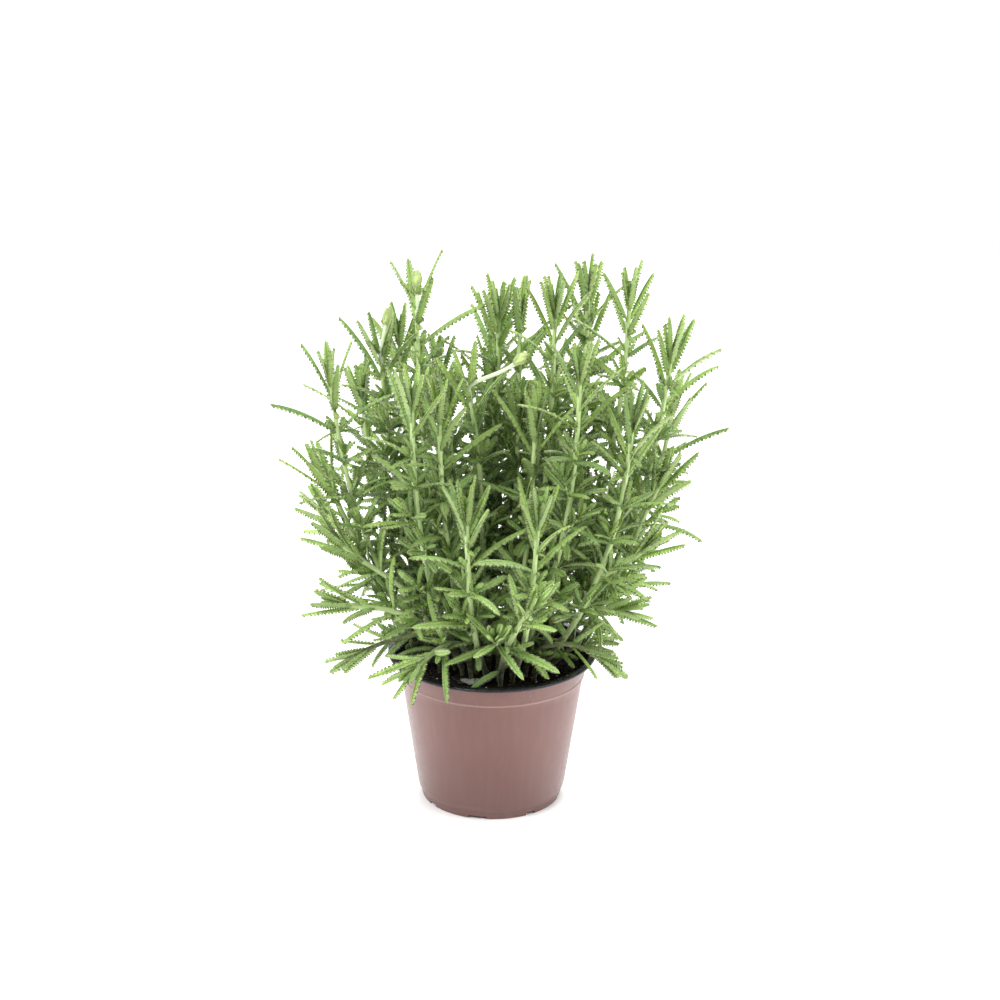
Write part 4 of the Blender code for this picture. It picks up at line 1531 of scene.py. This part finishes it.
def drain_cutters():
    """Rounded slots through the foot ring and round holes through the recessed floor."""
    bm = bmesh.new()
    for index in range(NOTCHES):
        turn = Matrix.Rotation(FIRST_NOTCH + index * math.tau / NOTCHES, 4, "Z")
        size = Matrix.Diagonal((SLOT_LENGTH, NOTCH_WIDTHS[index % 2], 2 * NOTCH_HEIGHT, 1))
        slot = turn @ Matrix.Translation((FOOT_RADIUS, 0, 0)) @ size
        made = bmesh.ops.create_cube(bm, size=1, matrix=slot)["verts"]
        across = turn.to_3x3() @ Vector((1, 0, 0))
        edges = dict.fromkeys(edge for vert in made for edge in vert.link_edges)
        ways = {edge: (edge.verts[1].co - edge.verts[0].co).normalized() for edge in edges}
        long_edges = [edge for edge in edges if abs(ways[edge].dot(across)) > 0.9]
        bmesh.ops.bevel(bm, geom=long_edges, offset=SLOT_ROUND, segments=4, affect="EDGES", profile=0.5)
        radii = {"radius1": DRAIN_HOLE_RADIUS, "radius2": DRAIN_HOLE_RADIUS}
        place = turn @ Matrix.Translation((DRAIN_CIRCLE, 0, FLOOR_TOP))
        sizes = {"segments": DRAIN_SIDES, "depth": DRAIN_DEPTH, **radii}
        bmesh.ops.create_cone(bm, cap_ends=True, matrix=place, **sizes)
    # A bevel leaves its parts in no fixed order
    kinds = ((bm.verts, lambda part: part.co), (bm.faces, lambda part: part.calc_center_median()))
    for parts, place in kinds:
        for index, part in enumerate(sorted(parts, key=lambda part: tuple(place(part)))):
            part.index = index
        parts.sort()
    return new_object("drain_cutter", mesh_from("drain_cutter", bm))


def distance_to(profile, place):
    """How far a point of the section lies from a profile."""
    nearest = math.inf
    for start, stop in zip(profile, profile[1:]):
        share = min(max(intersect_point_line(place, start, stop)[1], 0), 1)
        nearest = min(nearest, (place - Vector(start).lerp(Vector(stop), share)).length)
    return nearest


def build_pot(settings):
    bm = bmesh.new()
    outside = pot_outside_profile()
    inside = pot_inside_profile()
    turned(bm, outside + inside, settings.sides)
    for face in bm.faces:
        middle = face.calc_center_median()
        place = Vector((math.hypot(middle.x, middle.y), middle.z))
        face.material_index = int(distance_to(inside, place) < distance_to(outside, place))
    materials = pot_outside_material(settings), pot_inside_material(settings)
    pot = new_object("nursery_pot", mesh_from("nursery_pot", bm), *materials)
    cutter = drain_cutters()
    cut = pot.modifiers.new("drain", "BOOLEAN")
    cut.operation = "DIFFERENCE"
    cut.solver = "EXACT"
    cut.object = cutter
    mesh = settle(pot)
    drop(cutter)
    smooth_faces(mesh, 40)
    belongs(pot, "pot_plastic", "pot")


# ---------------------------------------------------------------- soil

SOIL_RINGS = 64
SOIL_SIDES = 150
SOIL_SEED = 5
SOIL_WALL_GAP = 0.25 * MM
BED_FOOT = FOOT_HEIGHT + 1.5 * MM
LEAST_UPWARD = 0.35
MOST_DENSE = 2.0e6
BLANKS_EACH = 3
FIBRE_SIDES = 5
FIBRE_STEPS = 6
FIBRE_HALF = 0.022
SCRAP_COLUMNS = 26
SCRAP_LANES = 12
SCRAP_HALF_WIDTH = 4.2 * MM
SCRAP_THICKNESS = 0.22 * MM


def soil_height(x, y):
    """The uneven top of the peat, a little lower at the wall."""
    radius = math.hypot(x, y)
    edge = max(0, radius - 44 * MM) / (8 * MM)
    place = Vector((x, y, 0))
    lumps = noise.fractal(place * 95, 0.9, 2.1, 5) * 1.15 * MM
    fine = noise.noise(place * 620) * 0.35 * MM
    return SOIL_TOP - 0.6 * MM - SOIL_EDGE_DROP * min(edge, 1) + lumps + fine


def build_soil_bed(settings):
    bm = bmesh.new()
    edge_radius = wall_radius(SOIL_TOP - SOIL_EDGE_DROP) - SOIL_WALL_GAP
    rings = []
    for ring in range(1, SOIL_RINGS + 1):
        places = circle(SOIL_SIDES, edge_radius * ring / SOIL_RINGS)
        rings.append([bm.verts.new((x, y, soil_height(x, y))) for x, y in places])
    places = circle(SOIL_SIDES, wall_radius(BED_FOOT) - SOIL_WALL_GAP)
    rings.append([bm.verts.new((x, y, BED_FOOT)) for x, y in places])
    middle = bm.verts.new((0, 0, soil_height(0, 0)))
    for side in range(SOIL_SIDES):
        after = (side + 1) % SOIL_SIDES
        bm.faces.new((middle, rings[0][side], rings[0][after]))
        for inner, outer in zip(rings, rings[1:]):
            bm.faces.new((inner[side], outer[side], outer[after], inner[after]))
    bm.faces.new(list(reversed(rings[-1])))
    bmesh.ops.recalc_face_normals(bm, faces=bm.faces)
    peat = grain_material("peat", settings.peat, (0.022, 0.018, 0.014), 2.4 * MM)
    bed = new_object("soil_bed", mesh_from("soil_bed", bm, 50), peat)
    belongs(bed, "peat", "potting_soil")
    return bed


def lump_blank(name, seed, detail):
    """A small angular lump of unit size."""
    bm = bmesh.new()
    bmesh.ops.create_icosphere(bm, subdivisions=detail, radius=0.5)
    rng = random.Random(seed)
    for vert in bm.verts:
        vert.co *= rng.uniform(0.7, 1.15)
        vert.co.z *= 0.75
    return bpy.data.objects.new(name, mesh_from(name, bm, 35))


def fibre_blank(name, seed):
    """A thin bent rootlet of unit length."""
    bm = bmesh.new()
    rng = random.Random(seed)
    rows = []
    bow = rng.uniform(-0.16, 0.16)
    kink = rng.uniform(-0.08, 0.08)
    for index in range(FIBRE_STEPS + 1):
        share = index / FIBRE_STEPS
        x = share - 0.5
        y = bow * (1 - 4 * x * x) + kink * math.sin(share * 9)
        z = 0.05 * math.sin(share * 5 + seed)
        half = FIBRE_HALF * (1.15 - share * 0.6)
        rows.append([bm.verts.new((x, y + across, z + rise)) for across, rise in circle(FIBRE_SIDES, half)])
    for low, high in zip(rows, rows[1:]):
        for side in range(FIBRE_SIDES):
            after = (side + 1) % FIBRE_SIDES
            bm.faces.new((low[side], low[after], high[after], high[side]))
    bm.faces.new(rows[0])
    bm.faces.new(rows[-1])
    bmesh.ops.recalc_face_normals(bm, faces=bm.faces)
    return bpy.data.objects.new(name, mesh_from(name, bm, 60))


def scatter_tree():
    """Blanks strewn over the upward faces of a bed, turned and sized at random by a fixed seed."""
    tree, given, end = geometry_tree(
        "Soil Scatter",
        ("Blanks", "Collection"),
        ("Gap", "Float", 1 * MM),
        ("Share", "Float", 1.0),
        ("Smallest", "Float", 0.5 * MM),
        ("Largest", "Float", 2 * MM),
        ("Tilt", "Float", math.pi),
        ("Rise", "Float", 0.0),
        ("Seed", "Int", 0),
        ("Material", "Material"),
    )
    seed = given["Seed"]

    def chance(low, high, step):
        """A number for each point, from its own run of draws."""
        inputs = {2: low, 3: high, "Seed": seed + float(step)}
        return add_node(tree, "FunctionNodeRandomValue", inputs, 1, data_type="FLOAT")

    upward = add_node(tree, "GeometryNodeInputNormal").parts()[2].maths("GREATER_THAN", LEAST_UPWARD)
    inputs = {
        "Mesh": given["Geometry"],
        "Selection": upward,
        "Distance Min": given["Gap"],
        "Density Max": MOST_DENSE,
        "Density Factor": given["Share"],
        "Seed": seed,
    }
    strewn = add_node(tree, "GeometryNodeDistributePointsOnFaces", inputs, distribute_method="POISSON")
    rise = add_node(tree, "ShaderNodeCombineXYZ", {2: given["Rise"]})
    lifted = add_node(tree, "GeometryNodeSetPosition", {"Geometry": strewn, "Offset": rise})
    tilt = given["Tilt"]
    back = tilt * -1.0
    inputs = {0: chance(back, tilt, 1), 1: chance(back, tilt, 2), 2: chance(0.0, math.tau, 3)}
    turns = add_node(tree, "ShaderNodeCombineXYZ", inputs)
    size = chance(given["Smallest"], given["Largest"], 4)
    inputs = {4: 0, 5: BLANKS_EACH - 1, "Seed": seed}
    pick = add_node(tree, "FunctionNodeRandomValue", inputs, 2, data_type="INT")
    real = real_instances(lifted, given["Blanks"], pick, Rotation=turns, Scale=size)
    feed(end, painted(real, given["Material"]))
    return tree


def strew(tree, bed, seed, name, made, material, **sizes):
    """Strews one kind of blank over a copy of the bed's surface."""
    blanks = blank_collection(f"{name}_blanks", made)
    piece = new_object(name, bed.data.copy())
    grow_mesh(piece, tree, blanks=blanks, material=material, seed=seed, **sizes)
    belongs(piece, "peat")
    drop_collection(blanks)


def build_scattered(settings, bed):
    """Crumbs of peat, grains of perlite and dry fibres over the whole top."""
    tree = scatter_tree()
    crumb = settings.crumb
    made = [lump_blank(f"crumb_{index}", index, 1) for index in range(BLANKS_EACH)]
    material = grain_material("peat_crumb", settings.peat, (0.030, 0.024, 0.018), 1.1 * MM)
    sizes = {"gap": settings.crumb_gap, "share": 1.0, "smallest": crumb * 0.3, "largest": crumb}
    strew(tree, bed, SOIL_SEED, "soil_crumbs", made, material, tilt=math.pi, rise=0.1 * MM, **sizes)
    made = [lump_blank(f"perlite_{index}", 20 + index, 2) for index in range(BLANKS_EACH)]
    material = grain_material("perlite", settings.perlite, (0.86, 0.85, 0.8), 0.7 * MM, 0.85)
    sizes = {"gap": 5 * MM, "share": 0.24, "smallest": 0.5 * MM, "largest": 1.4 * MM}
    strew(tree, bed, SOIL_SEED + 1, "perlite", made, material, tilt=3.0, rise=0.2 * MM, **sizes)
    made = [fibre_blank(f"fibre_{index}", 40 + index) for index in range(BLANKS_EACH)]
    material = grain_material("fibre", settings.fibre, (0.24, 0.21, 0.16), 1.5 * MM)
    sizes = {"gap": 5 * MM, "share": 0.35, "smallest": 3 * MM, "largest": 10 * MM}
    strew(tree, bed, SOIL_SEED + 2, "peat_fibres", made, material, tilt=0.22, rise=0.7 * MM, **sizes)


def build_dry_scrap(settings):
    """A curled, crumpled dead leaf that lies on the soil at the front."""
    bm = bmesh.new()
    long = (SCRAP_HIGH.x - SCRAP_LOW.x) * 1.02
    middle = (SCRAP_LOW + SCRAP_HIGH) / 2
    grid = []
    for column in range(SCRAP_COLUMNS + 1):
        along = column / SCRAP_COLUMNS * 2 - 1
        row = []
        for lane in range(SCRAP_LANES + 1):
            across = lane / SCRAP_LANES * 2 - 1
            taper = 1 - 0.72 * abs(along) ** 2.2
            x = along * long / 2
            y = across * (SCRAP_HALF_WIDTH * taper * (1 + 0.16 * math.sin(along * 9 + across)))
            fold = 1.1 * MM * abs(across) ** 1.4 + 1.9 * MM * along * along
            crumple = noise.noise(Vector((x, y, 0.3)) * 420) * 0.9 * MM
            row.append(bm.verts.new((x, y, fold + crumple)))
        grid.append(row)
    for near, far in zip(grid, grid[1:]):
        for lane in range(SCRAP_LANES):
            bm.faces.new((near[lane], far[lane], far[lane + 1], near[lane + 1]))
    mesh = mesh_from("dry_leaf_scrap", bm)
    place = Matrix.Translation((middle.x, middle.y, SOIL_TOP + 0.5 * MM))
    mesh.transform(place @ Matrix.Rotation(DRY_LEAF_TURN, 4, "Z"))
    mesh.shade_smooth()
    scrap = new_object("dry_leaf_scrap", mesh, withered_material(settings))
    shell = scrap.modifiers.new("thickness", "SOLIDIFY")
    shell.thickness = SCRAP_THICKNESS
    shell.offset = 0
    belongs(scrap, "withered_leaf", "dry_leaf")


# ---------------------------------------------------------------- shoots

STEM_SWELL = 1.3
STALK_PALENESS = 14 * MM
STEM_AGE = 0.2
SPRIG_HALF = 0.5 * MM
LEAST_SPRIG = 1.5 * MM
FULL_BLADE = 26 * MM


def stem_stations(shoot):
    """Points, side axes and half-widths from below the soil to the tip of the stalk or crown."""
    count = len(shoot.points) - 1
    start = shoot.points[0]
    side = shoot.frames[0][1]
    stations = [
        (Vector((start.x, start.y, SOIL_TOP - ROOT_DEPTH * 0.6)), side, STEM_HALF_BASE, 0.0),
        (Vector((start.x, start.y, SOIL_TOP + ROOT_STUB * 0.4)), side, STEM_HALF_BASE, 0.0),
    ]
    nodes = {index for _, index, _, _ in shoot.pairs}
    for index, (point, axes) in enumerate(zip(shoot.points, shoot.frames)):
        share = index / count
        half = (STEM_HALF_BASE * (1 - share) + STEM_HALF_TIP * share) * STEM_SWELL
        if index in nodes:
            half *= NODE_SWELL
        pale = 0.0
        if shoot.stalk_points:
            pale = max(0, 1 - (shoot.tip - point).length / STALK_PALENESS)
        stations.append((point, axes[1], half, pale))
    if shoot.stalk_points:
        frames = frames_along(shoot.stalk_points, 0)
        last = shoot.frames[-1][1]
        steps = len(frames) - 1
        for step, (point, axes) in enumerate(zip(shoot.stalk_points, frames)):
            if step:
                side = (last - axes[0] * last.dot(axes[0])).normalized()
                flare = 1.1 + 0.5 * max(0, step / steps - 0.6)
                stations.append((point, side, STALK_HALF * flare, 1.0))
        stations.append((point + shoot.bud_heading * 1.2 * MM, side, STALK_HALF * 1.5, 1.0))
    else:
        tangent, side, _ = shoot.frames[-1]
        stations.append((shoot.tip + tangent * 2.2 * MM, side, STEM_HALF_TIP * 0.45, 0.0))
    return stations


def shoot_carrier(shoot, crowd, settings, rng):
    """The points of a shoot's blades and the paths of its stem and sprigs."""
    blades = [*main_blades(shoot, settings, rng), *crown_blades(shoot, settings, rng)]
    sprigs, small = grown_sprigs(shoot, crowd, settings, rng)
    carrier = Carrier()
    for blade in (*blades, *small):
        index = blank_for(blade.length)
        carrier.add(
            blade.root,
            heading=blade.heading,
            up=blade.up,
            length=blade.length,
            half_width=blade.width / 2,
            thickness=settings.thickness * min(1, 0.5 + 0.5 * blade.length / FULL_BLADE),
            bend=blade.bend,
            twist=blade.twist,
            age=blade.age,
            tint=blade.tint,
            teeth=BLANK_TEETH[index],
            is_blade=True,
            blank=index,
        )
    carrier.add_path(stem_stations(shoot), STEM_AGE)
    for sprig in sprigs:
        if sprig.reach > LEAST_SPRIG:
            halves = [SPRIG_HALF * share for share in (1, 0.9, 0.75, 0.5)]
            stations = [(point, sprig.side, half, 0.15) for point, half in zip(sprig.points, halves)]
            carrier.add_path(stations, 0)
    return carrier.mesh()


def build_shoots(settings):
    shoots, crowd = grown_bush()
    tree = leafy_shoot_tree()
    outlines = (blunt, blunt, blunt, pointed)
    made = [
        blade_blank(f"blank_{index}_{teeth}", teeth, outline)
        for index, (teeth, outline) in enumerate(zip(BLANK_TEETH, outlines))
    ]
    section = stem_section()
    given = {
        "blanks": blank_collection("leaf_blanks", made),
        "section": section,
        "leaf_material": leaf_material(settings.leaf),
        "stem_material": stem_material(settings.stem),
    }
    rng = random.Random(AXIL_SEED)
    for shoot in shoots:
        carrier = shoot_carrier(shoot, crowd, settings.leaf, rng)
        piece = new_object(f"leafy_shoot_{shoot.number:02d}", carrier)
        grow_mesh(piece, tree, **given)
        belongs(piece, "foliage", f"shoot_{shoot.number:02d}")
    drop_collection(given["blanks"])
    drop(section)


# ---------------------------------------------------------------- buds

# Whorls of scales: their place along the bud, their number, and a scale's length and width in
# millimetres
BUD_TIERS = (
    (0.0, 6, 4.4, 3.2),
    (0.2, 6, 4.9, 3.4),
    (0.4, 5, 4.9, 3.2),
    (0.56, 4, 4.4, 2.8),
    (0.7, 3, 3.4, 2.2),
)
SCALE_THICKNESS = 0.35 * MM
CORE_SIDES = 20
CORE_STEPS = 14


def bud_radius(share):
    """The core's radius at a share of its length."""
    return BUD_RADIUS * 0.8 * math.sin(math.pi * min(1, 0.1 + 0.9 * share) ** 0.85) ** 0.6


def bud_carrier(shoot, rng):
    """Scale points in whorls round the core, each hugging it and pointing to the tip."""
    heading = shoot.bud_heading
    side = heading.orthogonal().normalized()
    other = heading.cross(side)
    carrier = Carrier()
    for tier, (share, count, length, width) in enumerate(BUD_TIERS):
        middle = shoot.stalk_points[-1] + heading * (BUD_LENGTH * share)
        for index in range(count):
            turn = (index + 0.5 * (tier % 2)) * math.tau / count + rng.uniform(-0.08, 0.08)
            outward = side * math.cos(turn) + other * math.sin(turn)
            lean = math.radians(36 - 40 * share + rng.uniform(-8, 8))
            carrier.add(
                middle + outward * bud_radius(share) * 0.75,
                heading=(heading * math.cos(lean) + outward * math.sin(lean)).normalized(),
                up=(outward * math.cos(lean) - heading * math.sin(lean)).normalized(),
                length=length * MM * rng.uniform(0.94, 1.06),
                half_width=width / 2 * MM,
                thickness=SCALE_THICKNESS,
                bend=math.radians(48 + rng.uniform(-16, 10)),
                twist=math.radians(rng.uniform(-16, 16)),
            )
    return carrier.mesh()


def bud_tree():
    """The scales of a bud on their points."""
    tree, given, end = geometry_tree("Flower Bud", ("Blanks", "Collection"), ("Material", "Material"))
    feed(end, blades_from(given["Geometry"], given["Blanks"], given["Material"]))
    return tree


def bud_core(name, shoot, material):
    """The closed egg that fills the bud behind its scales."""
    bm = bmesh.new()
    turns = [math.pi * step / CORE_STEPS for step in range(CORE_STEPS + 1)]
    turned(bm, [(math.sin(turn), -math.cos(turn)) for turn in turns], CORE_SIDES)
    middle = shoot.stalk_points[-1] + shoot.bud_heading * (BUD_LENGTH * 0.48)
    turn = UP.rotation_difference(shoot.bud_heading).to_matrix().to_4x4()
    half = BUD_RADIUS * 0.86
    shape = Matrix.Translation(middle) @ turn @ Matrix.Diagonal((half, half, BUD_LENGTH * 0.5, 1))
    bmesh.ops.transform(bm, matrix=shape, verts=bm.verts)
    mesh = mesh_from(name, bm, 60)
    fill_attribute(mesh, "blade", "FLOAT_VECTOR", [(0, 0, 0)] * len(mesh.vertices))
    return new_object(name, mesh, material)


def build_buds(settings):
    shoots, _ = grown_bush()
    tree = bud_tree()
    blanks = blank_collection("bract_blanks", [blade_blank("bract", 4, bract_outline, 0.94, 0.1)])
    material = bract_material(settings)
    rng = random.Random(AXIL_SEED + 1)
    budded = [shoot for shoot in shoots if shoot.stalk_points]
    for number, shoot in enumerate(budded, 1):
        piece = new_object(f"flower_bud_{number}_scales", bud_carrier(shoot, rng))
        grow_mesh(piece, tree, blanks=blanks, material=material)
        belongs(piece, "bud", f"flower_bud_{number}")
        belongs(bud_core(f"flower_bud_{number}_core", shoot, material), "bud")
    drop_collection(blanks)


# ---------------------------------------------------------------- stage

CAMERA_PLACE = Vector((3.7, -1274.8, 618.2)) * MM
CAMERA_PITCH = math.radians(19)
CAMERA_ROLL = math.radians(0.5)
CAMERA_LENS = 86.2
SENSOR = 36.0
FLOOR_RADIUS = 1.5
WHITE = 1.02
LIT = Vector((0, 0, 0.16))


def build_floor(settings):
    """A round pale table that glows of itself as painted light, so that it stays white round the pot; under
    the pot's foot the glow is left out, as a painted shadow.
    """
    bm = bmesh.new()
    bmesh.ops.create_circle(bm, cap_ends=True, segments=96, radius=FLOOR_RADIUS)
    color = (*settings.floor, 1)
    paint = Paint("pale_floor", 0.9, base_color=color, emission_strength=settings.floor_glow)
    paint.inputs["Specular IOR Level"].default_value = 0.1
    # Painted light: the floor glows beyond the pot's foot, and the dark left under the foot is a painted
    # shadow
    glow = paint.place.maths("LENGTH").ramp(FOOT_RADIUS - 1 * MM, FOOT_RADIUS + 7 * MM)
    feed(paint.inputs["Emission Color"], paint.mix(glow, (0, 0, 0), (1, 1, 1)))
    floor = new_object("floor", mesh_from("floor", bm), paint.material)
    floor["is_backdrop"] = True


def build_surround(settings):
    """White all round: full to the camera, and as light brighter from the back than from the front."""
    world = bpy.data.worlds.new("studio")
    bpy.context.scene.world = world
    world.use_nodes = True
    tree = world.node_tree
    background = tree.nodes["Background"]
    background.inputs["Color"].default_value = (1, 1, 1, 1)
    way = add_node(tree, "ShaderNodeTexCoord", output="Generated")
    back = way.parts()[1].ramp(-0.75, 0.35, settings.surround_front, settings.surround_back)
    seen = add_node(tree, "ShaderNodeLightPath", output="Is Camera Ray")
    feed(background.inputs["Strength"], back + seen * (WHITE - back))


def add_light(name, power, size, place):
    """A round light that faces the middle of the bush."""
    light = bpy.data.lights.new(name, "AREA")
    light.energy = power
    light.shape = "DISK"
    light.size = size
    obj = bpy.data.objects.new(name, light)
    bpy.context.collection.objects.link(obj)
    obj.location = place
    obj.rotation_euler = (LIT - Vector(place)).to_track_quat("-Z", "Y").to_euler()


def build_lights(settings):
    """Each light with its power, size and place, in metres."""
    add_light("key", settings.key_power, 1.1, (-0.9, -0.9, 1.3))
    add_light("fill", settings.fill_power, 1.2, (1.3, -0.5, 0.8))
    add_light("back", settings.back_power, 1.3, (0.2, 1.2, 1.2))


def build_camera():
    camera = bpy.data.cameras.new("camera")
    camera.lens = CAMERA_LENS
    camera.sensor_width = SENSOR
    obj = bpy.data.objects.new("camera", camera)
    bpy.context.collection.objects.link(obj)
    obj.location = CAMERA_PLACE
    look = Matrix.Rotation(math.pi / 2 - CAMERA_PITCH, 4, "X") @ Matrix.Rotation(CAMERA_ROLL, 4, "Z")
    obj.rotation_euler = look.to_euler()
    bpy.context.scene.camera = obj


def build_stage(settings):
    build_floor(settings)
    build_surround(settings)
    build_lights(settings)
    build_camera()
    bpy.context.scene.view_settings.view_transform = "Standard"


# ---------------------------------------------------------------- add-on


class LAVENDER_OT_pot(bpy.types.Operator):
    """Builds the two-tone nursery pot"""

    bl_idname = "lavender.pot"
    bl_label = "Pot"

    def execute(self, context):
        build_pot(context.scene.lavender.pot)
        return {"FINISHED"}


class LAVENDER_OT_soil(bpy.types.Operator):
    """Builds the peat with its crumbs, perlite, fibres and the dry leaf on it"""

    bl_idname = "lavender.soil"
    bl_label = "Soil"

    def execute(self, context):
        settings = context.scene.lavender.soil
        bed = build_soil_bed(settings)
        build_scattered(settings, bed)
        build_dry_scrap(settings)
        return {"FINISHED"}


class LAVENDER_OT_shoots(bpy.types.Operator):
    """Builds every leafy shoot"""

    bl_idname = "lavender.shoots"
    bl_label = "Shoots"

    def execute(self, context):
        build_shoots(context.scene.lavender)
        return {"FINISHED"}


class LAVENDER_OT_buds(bpy.types.Operator):
    """Builds the flower buds"""

    bl_idname = "lavender.buds"
    bl_label = "Buds"

    def execute(self, context):
        build_buds(context.scene.lavender.stem)
        return {"FINISHED"}


class LAVENDER_OT_stage(bpy.types.Operator):
    """Builds the floor, the lights and the camera"""

    bl_idname = "lavender.stage"
    bl_label = "Stage"

    def execute(self, context):
        build_stage(context.scene.lavender.stage)
        return {"FINISHED"}


OPERATORS = (
    LAVENDER_OT_stage,
    LAVENDER_OT_pot,
    LAVENDER_OT_soil,
    LAVENDER_OT_shoots,
    LAVENDER_OT_buds,
)


class LAVENDER_PT_panel(bpy.types.Panel):
    """Lists the builders and the settings"""

    bl_label = "Potted Lavender"
    bl_idname = "LAVENDER_PT_panel"
    bl_space_type = "VIEW_3D"
    bl_region_type = "UI"
    bl_category = "Lavender"

    def draw(self, context):
        layout = self.layout
        for operator in OPERATORS:
            layout.operator(operator.bl_idname)
        settings = context.scene.lavender
        for part in ("leaf", "stem", "pot", "soil", "stage"):
            box = layout.box()
            box.label(text=part.title())
            group = getattr(settings, part)
            for name in group.__annotations__:
                box.prop(group, name)


CLASSES = (
    LavenderLeafSettings,
    LavenderStemSettings,
    LavenderPotSettings,
    LavenderSoilSettings,
    LavenderStageSettings,
    LavenderSettings,
    *OPERATORS,
    LAVENDER_PT_panel,
)


def register():
    for cls in CLASSES:
        bpy.utils.register_class(cls)
    bpy.types.Scene.lavender = bpy.props.PointerProperty(type=LavenderSettings)


def unregister():
    del bpy.types.Scene.lavender
    for cls in reversed(CLASSES):
        bpy.utils.unregister_class(cls)


def write_sizes():
    """The frame's box and the finished model's box, made into plain lists that are not kept or written
    anywhere.
    """
    boxes = {"cad": CAD_BOX, "visual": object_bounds()}
    {name: [list(corner) for corner in box] for name, box in boxes.items()}


def main():
    register()
    bpy.ops.lavender.stage()
    bpy.ops.lavender.pot()
    bpy.ops.lavender.soil()
    bpy.ops.lavender.shoots()
    bpy.ops.lavender.buds()
    write_sizes()


if __name__ == "__main__":
    main()
